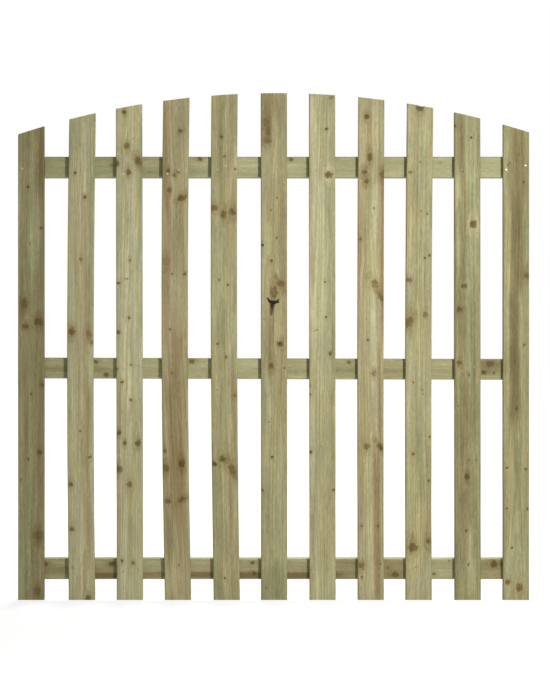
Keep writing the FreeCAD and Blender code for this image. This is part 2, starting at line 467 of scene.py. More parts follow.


# %% [markdown]
# ## What the boards are like
#
# Here are the knots and streaks, read from the photograph and given by the pixel where each
# shows. A knot is where a branch grew. It says how wide it is, how dark it is, and how much paler
# or browner the wood round it is. A streak is a long soft band: heartwood is browner, sapwood takes
# more of the green preservative, and some bands are simply lighter or darker.

# %% Knots of the pickets
# For each knot: pixel across, pixel down, radius in millimetres, strength, darkness, halo. Two more
# numbers say how many times longer than wide a knot is, and how many degrees it leans to the right.
KNOTS = {
    "picket_01": [
        (28, 187, 3.6, 0.9, 0.6, -0.4), (41, 228, 3.8, 0.9, 0.7, -0.5), (30, 244, 2.9, 0.8, 0.5, -0.3),
        (24, 304, 10.0, 0.7, 0.2, -0.8, 1.3, 0), (25.5, 326, 9.4, 0.9, 0.3, -0.8, 0.8, 0),
        (39, 322, 9.6, 0.9, 0.4, -1.0),
        (31, 394, 3.6, 0.8, 0.5, -0.3), (43, 385, 5.0, 0.8, 0.5, -0.4),
        (39.5, 452, 5.0, 0.85, 0.6, -0.5),
        (28, 459, 3.4, 0.8, 0.5, -0.3), (21, 480, 2.9, 0.8, 0.6, -0.3), (29, 524, 2.7, 0.6, 0.5, -0.2),
        (37, 535, 10.5, 0.55, 0.1, -0.8), (36, 591, 8.8, 0.6, 0.4, -0.6),
    ],
    "picket_02": [
        (75, 173, 4.0, 1.0, 0.85, -0.6), (85, 197, 5.0, 0.9, 0.5, -0.6), (81, 259, 5.5, 0.8, 0.4, -0.5),
        (72, 332, 10.0, 0.9, 0.45, -0.7), (89, 334, 9.4, 0.75, 0.35, -0.8),
        (92, 342, 5.6, 0.8, 0.6, -0.6),
        (80, 431, 3.1, 0.9, 0.6, -0.3), (90, 457, 5.0, 0.85, 0.6, -0.5),
        (71, 484, 6.0, 0.9, 0.55, -0.4),
        (72, 529, 6.0, 0.9, 0.5, -0.4), (72.5, 567, 2.2, 0.6, 0.5, -0.2),
        (88, 598, 10.0, 0.95, 0.5, -0.6),
    ],
    "picket_03": [
        (124.5, 112, 5.0, 0.95, 0.7, -0.4), (133, 139, 2.2, 0.6, 0.4, -0.2),
        (127, 146, 8.1, 0.9, 0.5, -0.7),
        (138, 161, 10.6, 0.9, 0.5, -0.9, 1.2, -20), (116.5, 163.5, 7.5, 0.9, 0.6, -0.6, 1.3, 0),
        (129, 172, 7.8, 0.95, 0.45, -0.6),
        (130, 260, 3.8, 0.85, 0.5, -0.4), (125, 279, 2.0, 0.8, 0.7, 0.0),
        (127.5, 279, 2.7, 0.8, 0.6, -0.2),
        (118, 283, 5.0, 0.9, 0.7, -0.4), (129, 318, 4.3, 0.9, 0.6, -0.4),
        (118, 332, 5.8, 0.9, 0.55, -0.4),
        (131, 365, 3.8, 0.85, 0.5, -0.3), (122, 382, 4.3, 0.9, 0.6, -0.4),
        (117, 369, 3.4, 0.7, 0.6, -0.2),
        (131, 400, 5.0, 0.9, 0.6, -0.4), (119, 433, 6.9, 0.9, 0.5, -0.5),
        (125, 443, 5.5, 0.85, 0.35, -0.4),
        (138, 443, 8.8, 0.9, 0.6, -0.5), (119, 469, 10.6, 0.9, 0.5, -0.5),
        (130, 484, 9.4, 0.9, 0.35, -0.6),
        (122, 561, 5.0, 0.9, 0.65, -0.4), (133, 563, 5.5, 0.85, 0.5, -0.4),
    ],
    "picket_04": [
        (180, 131, 5.0, 0.8, 0.5, -0.5), (168, 171, 6.2, 0.8, 0.6, -0.6),
        (174, 175, 5.2, 0.8, 0.5, -0.6),
        (178, 172, 3.6, 0.7, 0.5, -0.5), (169, 190, 7.5, 0.85, 0.5, -0.7),
        (181, 198, 8.0, 0.95, 0.55, -0.7, 1.6, 40),
        (166, 262, 10.0, 0.4, 0.2, -0.6), (172, 274, 2.7, 0.9, 0.6, -0.2),
        (184.5, 274, 4.0, 0.9, 0.6, -0.4),
        (170, 329, 4.0, 0.9, 0.55, -0.4), (172, 373, 3.4, 0.9, 0.6, -0.3),
        (179, 383, 2.0, 0.7, 0.6, 0.0),
        (165, 451, 3.8, 0.8, 0.4, -0.5), (181.5, 463, 10.0, 0.95, 0.4, -0.9),
        (166, 468, 9.4, 0.8, 0.35, -0.9),
        (168, 501, 6.9, 0.85, 0.4, -0.5), (182, 499.5, 8.1, 0.95, 0.45, -0.8, 1.5, 50),
        (179, 565, 2.7, 0.8, 0.4, -0.3),
    ],
    "picket_05": [
        (221.5, 137, 4.0, 0.95, 0.7, -0.4), (224.5, 156, 4.0, 0.85, 0.4, -0.4),
        (235, 169, 3.4, 0.9, 0.8, -0.3),
        (214, 208, 7.5, 0.85, 0.35, -0.6), (223.5, 215, 7.2, 0.9, 0.4, -0.7, 1.8, 0),
        (232.5, 212, 10.6, 0.95, 0.6, -0.9),
        (219, 280, 3.4, 0.7, 0.3, -0.2), (228, 285, 3.6, 0.9, 0.65, -0.2),
        (217.5, 344, 3.6, 0.8, 0.5, -0.3),
        (226, 357, 3.8, 0.85, 0.5, -0.3), (235, 396, 5.8, 0.85, 0.4, -0.8),
        (217, 390, 2.2, 0.7, 0.5, 0.0),
        (223, 459, 8.2, 0.95, 0.8, -0.5), (214, 464, 6.5, 0.95, 0.8, -0.3),
        (232.5, 470, 9.4, 0.85, 0.2, -1.0, 1.9, -22),
        (225, 578, 3.4, 0.9, 0.75, -0.3), (222, 569, 1.8, 0.6, 0.5, 0.0),
    ],
    "picket_06": [
        (268, 131.5, 9.0, 0.9, 0.4, -0.9), (265.5, 122, 10.5, 0.45, 0.2, -0.8),
        (267, 141, 10.5, 0.6, 0.1, -0.9, 0.6, 12), (271, 210, 2.7, 0.9, 0.5, -0.2),
        (262.5, 245, 5.0, 1.0, 0.95, -0.3),
        (271.5, 261, 5.2, 0.9, 0.6, -0.4), (277, 238, 4.0, 0.8, 0.4, -0.3),
        (273.4, 292.3, 11.5, 0.85, -0.05, -0.4, 1.6, 0),
        (279.2, 283, 8.8, 0.9, 0.5, -1.0, 1.4, -25), (280, 344, 7.6, 1.0, 0.8, -0.7),
        (271, 366, 8.8, 0.9, 0.6, -0.8),
        (264, 319, 2.7, 0.6, 0.3, -0.2), (269, 422, 2.7, 0.8, 0.5, 0.0),
        (272, 457, 4.0, 0.95, 0.8, -0.3),
        (262.5, 490, 3.4, 1.0, 0.95, -0.3), (277, 198, 2.5, 0.6, 0.3, -0.2),
        (284, 368, 2.5, 0.8, 0.8, 0.0),
        (266, 588, 3.4, 0.6, 0.2, 0.2),
    ],
    "picket_07": [
        (326.5, 129, 4.3, 0.95, 0.5, -0.2), (328, 174.5, 9.8, 1.0, 0.4, 0.6),
        (325, 282, 2.9, 0.9, 0.7, 0.0),
        (326, 317, 3.4, 0.9, 0.7, -0.2), (314.5, 331, 2.2, 0.9, 0.8, 0.0),
        (317, 330, 2.7, 0.9, 0.8, 0.0),
        (330, 353.5, 3.6, 0.95, 0.7, -0.3, 2.0, 0), (310, 394.5, 3.4, 0.95, 0.8, -0.2),
        (309.8, 386, 3.1, 0.9, 0.8, -0.2),
        (310.5, 452, 5.5, 1.0, 0.95, -0.3),
        (334, 490, 3.8, 0.9, 0.6, -0.3), (321, 446, 2.2, 0.4, 0.2, -0.2),
        (331, 98, 5.0, 0.6, 0.3, -0.2),
    ],
    "picket_08": [
        (367, 116.5, 7.2, 0.9, 0.5, -0.7), (370, 157, 7.0, 0.95, 0.55, -0.8, 1.7, 0),
        (365, 172, 7.5, 0.95, 0.6, -1.0),
        (366.5, 181, 6.9, 0.9, 0.5, -1.0), (382.5, 174, 9.5, 0.75, 0.3, -1.0),
        (374, 208, 3.6, 0.7, 0.3, -0.1),
        (360.5, 239, 4.0, 0.85, 0.5, -0.5), (375, 284.5, 11.2, 0.9, 0.2, -0.5, 1.3, -35),
        (381.5, 297, 8.1, 0.9, 0.45, -1.0, 1.8, -35),
        (368, 340, 3.8, 0.9, 0.6, -0.3), (366, 319, 2.0, 0.6, 0.3, 0.0),
        (374, 373, 7.5, 0.7, 0.3, -0.6),
        (366.5, 446.5, 8.8, 0.85, 0.3, -0.6), (380.5, 447, 8.1, 0.95, 0.7, -0.9, 1.8, -38),
        (378, 526, 3.6, 0.85, 0.6, -0.5),
        (361.5, 526, 3.4, 0.7, 0.4, -0.4), (362, 565, 7.5, 0.85, 0.3, -0.8),
        (380.5, 564, 2.9, 0.9, 0.9, 0.0),
        (363.5, 569, 2.5, 0.9, 0.7, 0.0), (362, 577, 3.4, 0.7, 0.3, -0.5),
    ],
    "picket_09": [
        (420, 108, 8.1, 0.95, 0.6, -0.8), (420, 162, 2.7, 0.6, 0.3, -0.1),
        (410.5, 172, 3.6, 0.8, 0.4, -0.3),
        (424.5, 157, 1.8, 0.7, 0.6, 0.0), (421, 211, 4.0, 0.45, 0.2, 0.0),
        (427, 214, 3.8, 0.9, 0.6, -0.2),
        (429.5, 255, 3.8, 0.95, 0.75, -0.2), (425, 258, 3.4, 0.9, 0.7, -0.1),
        (409.5, 280, 6.5, 0.85, 0.4, -0.4),
        (425.5, 315, 7.0, 0.75, 0.1, -0.2, 1.3, 0), (408.5, 321.5, 10.0, 0.85, 0.35, -0.7, 1.7, 20),
        (422.5, 390, 2.7, 0.6, 0.4, 0.0),
        (413.5, 382.5, 2.7, 0.8, 0.3, -0.2), (423, 394, 3.1, 0.6, 0.3, 0.0),
        (429.5, 436.5, 4.0, 0.95, 0.7, -0.2),
        (413.5, 454, 4.0, 0.85, 0.4, -0.3), (428.5, 480.5, 4.3, 0.9, 0.5, -0.3),
        (413.5, 547, 11.5, 0.95, 0.35, -0.6),
        (428.5, 541, 8.1, 0.9, 0.4, -0.5), (415.5, 567, 2.2, 0.8, 0.5, 0.0),
    ],
    "picket_10": [
        (455, 126, 4.3, 0.9, 0.7, -0.3), (471.5, 137.5, 4.0, 1.0, 1.0, -0.1),
        (463, 171, 3.4, 0.7, 0.4, -0.1),
        (472.5, 224, 9.6, 1.0, 0.35, 0.7, 1.3, 0), (464, 286, 9.8, 0.9, 0.3, 0.35, 0.8, 0),
        (459.5, 310, 9.4, 0.9, 0.35, -0.6, 0.8, 60),
        (459, 363, 7.8, 0.85, 0.35, -0.5), (469, 375, 4.0, 0.7, 0.5, -0.2),
        (467, 476.5, 8.2, 0.95, 0.3, -0.5),
        (469, 460, 5.5, 0.5, 0.2, -0.3), (476, 460, 2.2, 0.8, 0.5, 0.0),
        (466, 530.5, 4.3, 0.9, 0.5, -0.3),
        (468.5, 564.5, 4.0, 0.9, 0.5, -0.2), (463, 569, 2.2, 0.8, 0.6, 0.0),
        (458, 406, 2.5, 0.7, 0.4, 0.0),
    ],
    "picket_11": [
        (508, 165, 2.5, 1.0, 0.95, 0.0), (510, 163, 2.5, 1.0, 0.95, 0.0),
        (523.5, 182, 4.0, 0.9, 0.6, -0.4),
        (527.5, 275.5, 10.6, 0.9, 0.4, -0.8), (524, 345, 3.8, 0.85, 0.5, -0.3),
        (516.5, 409, 5.0, 0.7, 0.4, -0.4),
        (507, 468, 3.6, 0.9, 0.7, -0.1), (525.5, 469, 3.8, 0.9, 0.7, -0.1),
        (507, 508.5, 3.1, 0.9, 0.75, 0.0),
        (527.5, 509, 3.4, 0.9, 0.7, -0.1), (512, 548, 3.8, 0.9, 0.55, -0.2),
        (505.5, 573, 1.8, 0.9, 0.9, 0.0),
        (508, 582, 6.8, 0.95, 0.35, -0.5), (519, 588, 10.8, 1.0, 0.35, -0.5),
    ],
}
print(sum(len(knots) for knots in KNOTS.values()), "knots on the pickets")

# %% Streaks and tones of the pickets
# For each streak: pixel across, half its width in pixels, first and last pixel down, then how much
# browner, greener and lighter it is.
# Streaks as wide as a board that only make it lighter or darker are painted light and shade: most
# lighten the feet, where the main lamp's light falls off, darken a stretch lower down, or lighten one
# near the top.
STREAKS = {
    "picket_01": [
        (42, 4.5, 120, 192, 0.60, -0.1, -0.13), (43, 3.5, 192, 262, 0.30, 0.2, -0.07),
        (42, 3.0, 262, 600, 0.45, 0.1, -0.02),
        (26, 2.2, 130, 600, 0.1, 0.35, 0.0), (34, 4.0, 190, 300, -0.2, 0.1, 0.04),
        (21, 1.5, 330, 600, -0.1, 0.2, 0.04), (36, 5.0, 265, 600, 0.15, 0.1, -0.05),
        (31, 13.0, 195, 275, 0.0, 0.0, 0.03),
    ],
    "picket_02": [
        (69.5, 2.5, 110, 600, -0.3, 0.15, 0.0), (82, 6.0, 195, 375, 0.5, -0.2, 0.05),
        (92, 2.5, 150, 330, -0.2, 0.4, 0.0), (81, 4.0, 375, 470, 0.45, -0.1, 0.03),
        (88.5, 3.2, 380, 570, 0.45, 0.1, -0.05), (76, 2.0, 230, 330, -0.1, 0.3, -0.02),
        (83, 2.5, 560, 600, 0.4, 0.0, 0.03), (88, 3.0, 265, 345, 0.2, 0.1, -0.08),
        (81, 13.0, 125, 200, 0.0, 0.0, -0.03),
    ],
    "picket_03": [
        (119, 3.0, 180, 330, -0.2, 0.3, 0.01), (133, 3.5, 250, 345, -0.1, 0.15, -0.01),
        (126, 4.0, 250, 420, 0.05, -0.2, 0.04), (119, 2.0, 380, 600, 0.25, 0.0, -0.06),
        (136, 3.0, 480, 600, 0.05, 0.0, 0.0), (141, 1.5, 120, 340, -0.2, 0.4, -0.05),
        (132, 3.5, 172, 262, -0.1, 0.0, 0.07), (129, 12.0, 405, 530, 0.0, 0.0, -0.04),
        (129, 12.0, 575, 600, 0.0, 0.0, 0.05),
    ],
    "picket_04": [
        (166, 4.0, 100, 345, 0.65, -0.3, 0.02), (177, 4.5, 190, 270, 0.0, 0.3, -0.06),
        (183, 3.0, 180, 345, 0.35, -0.2, 0.06), (176, 7.0, 330, 520, 0.6, -0.1, -0.06),
        (168, 3.0, 200, 270, 0.7, -0.2, -0.02), (174, 8.0, 448, 512, 0.30, 0.3, -0.01),
        (180, 4.0, 515, 600, 0.45, -0.2, 0.03), (170, 3.0, 515, 560, 0.1, 0.25, -0.1),
        (165, 3.0, 360, 550, 0.0, 0.0, -0.06), (184, 3.0, 370, 455, 0.0, 0.0, -0.08),
        (175, 12.0, 522, 562, 0.0, 0.0, -0.04), (175, 12.0, 575, 600, 0.0, 0.0, 0.04),
    ],
    "picket_05": [
        (232, 4.0, 150, 265, 0.35, -0.2, 0.04), (221, 3.0, 100, 210, 0.05, 0.25, -0.05),
        (219, 3.0, 230, 345, -0.2, 0.2, 0.02), (234, 3.0, 345, 480, 0.5, -0.1, -0.04),
        (218, 4.0, 480, 600, 0.0, 0.35, -0.03), (232, 3.0, 480, 600, 0.25, 0.0, -0.03),
        (220, 5.0, 185, 262, 0.0, 0.0, 0.05), (222, 2.0, 380, 460, 0.0, 0.1, -0.05),
    ],
    "picket_06": [
        (272, 13.0, 90, 107, 0.65, 0.0, -0.03), (274, 9.0, 104, 122, 0.5, 0.1, -0.01),
        (266, 4.0, 148, 262, -0.3, -0.1, 0.01), (281, 4.0, 160, 250, 0.4, -0.1, -0.01),
        (270.8, 3.0, 304, 380, 0.6, 0.0, -0.06), (283, 3.5, 345, 420, 0.5, -0.2, 0.02),
        (266, 4.0, 380, 520, -0.3, 0.15, 0.01), (278.5, 3.0, 450, 560, -0.1, 0.4, 0.05),
        (270, 3.0, 430, 560, 0.0, 0.0, -0.05), (272, 13.0, 565, 600, -0.2, 0.7, -0.04),
        (284, 2.5, 230, 350, 0.4, 0.0, -0.03), (268, 4.0, 100, 145, 0.3, 0.3, -0.06),
        (269, 5.0, 262, 300, 0.0, 0.0, 0.05), (272, 13.0, 348, 440, 0.0, 0.0, -0.05),
        (272, 13.0, 148, 178, 0.0, 0.0, 0.04),
    ],
    "picket_07": [
        (313, 4.0, 95, 340, 0.05, -0.2, 0.05), (330, 3.5, 110, 340, -0.1, 0.3, 0.01),
        (322, 4.0, 180, 330, -0.2, 0.0, 0.08), (313.5, 3.5, 360, 560, 0.1, -0.2, -0.05),
        (332, 3.0, 480, 560, 0.4, 0.0, -0.03), (333, 2.0, 330, 480, 0.0, 0.4, -0.06),
        (322, 12.0, 390, 510, 0.0, 0.0, -0.04), (322, 12.0, 575, 600, 0.0, 0.0, 0.05),
    ],
    "picket_08": [
        (361, 3.5, 98, 165, 0.35, -0.3, 0.07), (361, 3.5, 165, 345, 0.60, -0.4, 0.04),
        (383, 2.5, 175, 340, 0.9, -0.2, -0.02),
        (373, 4.0, 190, 345, -0.3, 0.1, 0.08), (362, 3.0, 345, 600, 0.4, -0.3, 0.02),
        (380, 2.5, 345, 445, 0.7, 0.0, -0.06), (377, 3.3, 450, 600, 0.95, -0.2, -0.08),
        (369, 3.5, 455, 600, -0.3, 0.2, 0.06), (371, 4.0, 98, 160, 0.3, -0.1, 0.03),
        (371, 12.0, 370, 520, 0.0, 0.0, -0.03), (371, 12.0, 575, 600, 0.0, 0.0, 0.05),
    ],
    "picket_09": [
        (411, 2.5, 105, 300, 0.25, -0.2, 0.02), (417, 1.2, 130, 300, 0.3, 0.0, -0.06),
        (426, 3.0, 120, 300, 0.05, 0.1, 0.02), (421, 4.0, 440, 500, -0.3, 0.4, -0.04),
        (412, 3.0, 300, 345, 0.25, 0.2, -0.02), (420, 5.0, 500, 600, 0.15, -0.1, 0.01),
        (410, 3.0, 460, 540, 0.0, 0.2, 0.02), (427, 5.0, 365, 560, 0.0, 0.0, -0.05),
        (419, 13.0, 98, 145, 0.0, 0.0, 0.05), (419, 12.0, 555, 600, 0.0, 0.0, 0.05),
    ],
    "picket_10": [
        (460, 4.0, 112, 175, 0.35, 0.25, -0.15), (458, 2.0, 120, 262, 0.0, -0.2, 0.05),
        (471, 4.0, 270, 360, -0.2, 0.45, 0.0), (463, 3.0, 175, 290, 0.15, 0.2, -0.05),
        (466, 5.0, 385, 530, 0.20, 0.0, -0.08), (474, 6.0, 175, 270, -0.2, 0.2, 0.09),
        (474, 2.5, 340, 560, -0.1, 0.3, -0.02), (470, 4.0, 530, 600, 0.1, -0.1, 0.06),
        (461, 6.0, 268, 345, 0.1, 0.0, -0.12), (459, 4.0, 350, 600, 0.0, 0.0, -0.08),
        (467, 12.0, 112, 190, 0.0, 0.0, 0.07), (467, 12.0, 370, 440, 0.0, 0.0, -0.06),
        (467, 12.0, 565, 600, 0.0, 0.0, 0.04),
    ],
    "picket_11": [
        (519, 7.0, 125, 200, 0.50, -0.2, -0.11), (518, 6.0, 200, 290, 0.45, 0.0, -0.18),
        (514.5, 5.2, 290, 420, 0.40, 0.0, -0.19), (507, 4.0, 135, 345, -0.1, 0.0, 0.07),
        (526.5, 2.5, 200, 400, -0.1, 0.25, -0.02), (517, 4.0, 410, 480, 0.2, 0.1, -0.03),
        (522, 4.0, 430, 560, -0.1, 0.2, 0.02), (508, 3.0, 350, 600, -0.1, 0.0, 0.02),
        (516, 13.0, 345, 375, 0.0, 0.0, -0.04), (516, 13.0, 540, 600, 0.0, 0.0, 0.09),
    ],
}

# For each picket: how brown, green and light it is all over, how far the pith is to the right of the
# board and behind its middle at the foot and at the head, and how far the board cups, all in mm.
CHARACTERS = {
    "picket_01": (0.15, 0.40, 0.87, (-38, 42), (-30, 40), 0.4),
    "picket_02": (0.08, 0.25, 1.04, (14, 48), (8, 58), -0.3),
    "picket_03": (0.00, 0.20, 1.05, (-6, 40), (30, 46), 0.3),
    "picket_04": (0.30, 0.20, 0.98, (36, 46), (-42, 40), -0.4),
    "picket_05": (0.10, 0.35, 0.97, (42, 50), (36, 52), 0.3),
    "picket_06": (0.08, 0.30, 0.945, (-32, 44), (-14, 42), 0.5),
    "picket_07": (-0.12, 0.25, 0.97, (-40, 48), (-26, 46), -0.3),
    "picket_08": (0.06, 0.10, 0.93, (18, 50), (14, 50), 0.4),
    "picket_09": (-0.12, 0.25, 0.925, (36, 56), (46, 50), -0.5),
    "picket_10": (-0.08, 0.45, 0.85, (-12, 46), (-26, 48), 0.3),
    "picket_11": (-0.05, 0.40, 0.835, (4, 42), (10, 54), -0.2),
}
print(sum(len(streaks) for streaks in STREAKS.values()), "streaks on the pickets")

# %% Knots, streaks and tones of the rails
KNOTS.update({
    "top_rail": [
        (200, 159, 6.9, 0.9, 0.5, -0.6), (291, 159.5, 5.8, 0.9, 0.5, -0.5),
        (112, 165, 5.0, 0.6, 0.3, -0.4),
        (150, 172, 3.4, 0.5, 0.3, -0.3), (440, 163, 3.4, 0.5, 0.3, -0.2),
    ],
    "middle_rail": [
        (96.5, 362, 6.0, 0.9, 0.5, -0.5), (106, 374.5, 7.5, 0.9, 0.5, -0.4),
        (192, 361.5, 7.5, 0.85, 0.5, -0.5),
        (349, 362, 5.0, 0.85, 0.5, -0.4), (490, 364, 9.5, 0.9, 0.2, -0.6),
        (484, 372.5, 6.8, 0.9, 0.6, -0.3),
        (494, 373, 3.4, 0.8, 0.4, -0.3),
    ],
    "bottom_rail": [
        (45.5, 564, 6.2, 0.8, 0.4, -0.6), (112, 564, 9.2, 0.95, 0.6, -0.6),
        (252.5, 563, 5.0, 0.9, 0.6, -0.4),
        (254, 573, 5.8, 0.9, 0.4, -0.8), (395, 574.5, 9.0, 0.95, 0.3, -0.9),
        (388, 568, 4.0, 0.7, 0.4, -0.4),
        (494, 564, 10.0, 0.95, 0.5, -0.6), (501, 564, 5.0, 0.8, 0.7, -0.4),
        (449, 561, 3.4, 0.8, 0.5, -0.2),
        (434, 574, 5.0, 0.7, 0.4, -0.5),
    ],
})
STREAKS.update({
    "top_rail": [
        (172, 3.0, 60, 240, 0.0, 0.25, 0.0),
        (165, 2.0, 140, 300, -0.1, -0.2, 0.02), (175, 2.0, 240, 330, 0.3, 0.0, -0.02),
        (163, 2.0, 340, 460, -0.1, 0.3, 0.02), (168, 12.0, 200, 300, 0.0, 0.0, 0.06),
    ],
    "middle_rail": [
        (364, 3.0, 200, 270, -0.1, 0.0, 0.04), (376, 2.5, 200, 340, 0.1, -0.2, 0.0),
        (369, 3.0, 40, 110, 0.3, 0.1, -0.06), (371, 2.0, 280, 420, 0.0, 0.3, -0.04),
        (365, 3.0, 420, 480, -0.2, -0.1, 0.0), (368, 7.0, 478, 500, 0.3, 0.2, -0.08),
        (368, 12.0, 90, 260, 0.0, 0.0, 0.05), (368, 12.0, 330, 470, 0.0, 0.0, -0.06),
        (368, 12.0, 470, 510, 0.0, 0.0, -0.15),
    ],
    "bottom_rail": [
        (575, 3.0, 90, 130, 0.95, 0.0, -0.20), (575, 3.0, 130, 170, 0.70, 0.0, -0.08),
        # The narrow streak at pixel 557.5 along the bottom rail's top edge is painted light from above:
        # it is lighter and less brown.
        (575, 3.0, 170, 250, 0.95, 0.0, -0.20), (557.5, 1.7, 190, 530, -0.2, 0.0, 0.16),
        (563, 2.5, 20, 260, -0.1, 0.2, 0.03),
        (575, 3.0, 250, 340, 0.95, 0.0, -0.18), (563, 3.0, 340, 460, 0.1, 0.2, -0.02),
        (571, 2.0, 400, 520, 0.0, 0.2, 0.04), (570, 4.0, 40, 90, 0.3, 0.2, -0.06),
        (569, 12.0, 135, 215, 0.0, 0.0, 0.07), (569, 12.0, 330, 410, 0.1, 0.0, -0.07),
        (569, 12.0, 425, 460, 0.0, 0.0, 0.04), (569, 12.0, 475, 510, 0.0, 0.0, -0.10),
    ],
})
CHARACTERS.update({
    "top_rail": (0.05, 0.45, 0.97, (12, 60), (-8, 52), 0.0),
    "middle_rail": (0.10, 0.35, 0.95, (-10, 48), (14, 60), 0.0),
    "bottom_rail": (0.30, 0.30, 0.94, (6, 56), (16, 44), 0.0),
})
print("rails:", {rail: len(KNOTS[rail]) for rail in RAILS})

# %% [markdown]
# ## Grain, knots, stains and painted light as attributes
#
# Grain follows the board, even where the board bends, and it flows round the knots as water flows
# round a pile. So each point of a board keeps its own account of the wood. Its grain is where the
# point lies from the pith, the centre of the tree, once the flow round the knots is undone. Its knot
# is how far it is from the nearest branch, counted in that branch's own radius. Its stain and light is
# how brown, green and light the streaks make it, and its lightness also carries painted light and
# shade: at the edges, in the cleft and in some streaks. The material reads these attributes.

# %% Board coordinates
PICKET_MIDDLE_Y = (picket_low.y + picket_high.y) / 2


def board_place(name, across, down):
    """Where a pixel of the picture lies on a board: across it and along it, in metres."""
    if name in RAILS:
        x, z = from_picture(across, down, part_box(name)[0].y)
        return rail_middle(name, x) - z, x
    x, z = from_picture(across, down)
    return x - picket_middle(name, z), z


def rail_middle(name, x):
    """The height of a rail's centreline at a place along it."""
    points = mesh_points(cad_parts[name].data)
    left = points[points[:, 0] < cad_low.x + HAIR][:, 2]
    right = points[points[:, 0] > cad_high.x - HAIR][:, 2]
    ends = [(left.min() + left.max()) / 2, (right.min() + right.max()) / 2]
    return np.interp(x, [cad_low.x, cad_high.x], ends)


# %% Grain round the knots
GRAIN_STRETCH = 2.3
KNOT_LENGTHENING = 1.15
NARROWEST = 0.2
FAR_AWAY = 99.0
HALO_START = 1.3
GUARD_START = 3.4
GUARD_WIDTH = 0.6


def pith_at(name, along, length):
    """How far the pith is across the board and behind its middle, at a place along it."""
    foot, head = CHARACTERS[name][3:5]
    share = along / length
    across = (foot[0] + (head[0] - foot[0]) * share) * MM
    behind = (foot[1] + (head[1] - foot[1]) * share) * MM
    return across, behind


def knot_offsets(name, knot, across, deep, along, length, face):
    """Each point's distance to one branch: sideways and along the board, in the branch's radius."""
    place, start = board_place(name, knot[0], knot[1])
    pith_across, pith_behind = pith_at(name, start, length)
    out = np.array([place - pith_across, face - pith_behind])
    reach = np.linalg.norm(out)
    out /= reach
    from_pith = np.stack([across - pith_across, deep - pith_behind])
    outward = out[0] * from_pith[0] + out[1] * from_pith[1]
    sideways = -out[1] * from_pith[0] + out[0] * from_pith[1]
    radius = knot[2] * MM * np.maximum(outward / reach, NARROWEST)
    longer, lean = knot[6:8] if len(knot) > 6 else (KNOT_LENGTHENING, 0)
    lean = math.radians(lean)
    upward = along - start
    knot_across = (sideways * math.cos(lean) - upward * math.sin(lean)) / radius
    knot_along = (sideways * math.sin(lean) + upward * math.cos(lean)) / (radius * longer)
    knot_across = np.where(outward < NARROWEST * reach, FAR_AWAY, knot_across)
    return knot_across, knot_along, radius, -np.sign(out[1])


def part_knots(knots):
    """Share knots out between two layers, so that close neighbours never lie in the same one."""
    layers = ([], [])
    for knot in knots:
        room = []
        for layer in layers:
            gaps = [math.dist(knot[:2], other[:2]) / (knot[2] + other[2]) for other in layer]
            room.append(min(gaps, default=FAR_AWAY))
        layers[int(room[1] > room[0])].append(knot)
    return layers


def grain_and_knots(name, across, deep, along, length, face):
    """The grain of every point of a board, and its knots and their looks in two layers."""
    count = len(across)
    bent_across = across.copy()
    layers = []
    for entries in part_knots(KNOTS[name]):
        nearest = np.full(count, FAR_AWAY)
        second = np.full(count, FAR_AWAY)
        knot = np.full((count, 3), FAR_AWAY)
        look = np.zeros((count, 3))
        for entry in entries:
            aside, lengthways, radius, turn = knot_offsets(
                name, entry, across, deep, along, length, face
            )
            flow = np.hypot(aside, lengthways / GRAIN_STRETCH)
            spread = np.minimum(1.0, 1.0 / np.maximum(flow, 1e-6) ** 2)
            bent_across -= turn * aside * radius * spread * (aside < FAR_AWAY)
            distance = np.hypot(aside, lengthways)
            closer = distance < nearest
            second = np.where(closer, nearest, np.minimum(second, distance))
            nearest = np.where(closer, distance, nearest)
            knot[closer, 0] = aside[closer]
            knot[closer, 1] = lengthways[closer]
            look[closer] = entry[3:6]
        clash = np.clip(1 - (second - nearest) / GUARD_WIDTH, 0, 1) * (nearest > HALO_START)
        knot[:, 2] = np.maximum(nearest - GUARD_START, 0) + clash
        layers.append((knot, look))
    pith_across, pith_behind = pith_at(name, along, length)
    board_number = sorted(KNOTS).index(name)
    grain = np.stack(
        [bent_across - pith_across, deep - pith_behind, along + board_number * 3.0], axis=1
    )
    return grain, layers


# %% Stains and painted light
FADE = 0.035


def stain_and_light_points(name, across, along, edge_near):
    """How brown, green and light each point of a board is."""
    brown, green, light = CHARACTERS[name][:3]
    stain_and_light = np.tile([brown, green, light], (len(across), 1))
    for streak in STREAKS[name]:
        if name in RAILS:
            place, _ = board_place(name, (streak[2] + streak[3]) / 2, streak[0])
            _, start = board_place(name, streak[2], streak[0])
            _, end = board_place(name, streak[3], streak[0])
        else:
            place, _ = board_place(name, streak[0], (streak[2] + streak[3]) / 2)
            _, end = board_place(name, streak[0], streak[2])
            _, start = board_place(name, streak[0], streak[3])
        reach = streak[1] * MM_PER_PIXEL * MM
        wander = 0.12 * reach * np.sin(along * 9.0 + place * 400)
        strength = np.exp(-(((across - place + wander) / reach) ** 4))
        strength *= 1 / (1 + np.exp(-(along - start) / FADE * 2))
        strength *= 1 / (1 + np.exp((along - end) / FADE * 2))
        stain_and_light += strength[:, None] * np.array(streak[4:7])
    # Painted shade: the long edges and narrow sides are made greener and a little darker, where the
    # rounded edges turn from the light.
    stain_and_light[:, 1] += 0.25 * edge_near
    stain_and_light[:, 2] -= 0.05 * edge_near
    return stain_and_light


def keep_attribute(mesh, name, values):
    attribute = mesh.attributes.new(name, "FLOAT_VECTOR", "POINT")
    attribute.data.foreach_set("vector", values.astype(np.float32).ravel())


def keep_wood(mesh, grain, layers, stain_and_light):
    keep_attribute(mesh, "grain", grain)
    keep_attribute(mesh, "stain_and_light", stain_and_light)
    for letter, (knot, look) in zip("ab", layers):
        keep_attribute(mesh, f"knot_{letter}", knot)
        keep_attribute(mesh, f"look_{letter}", look)


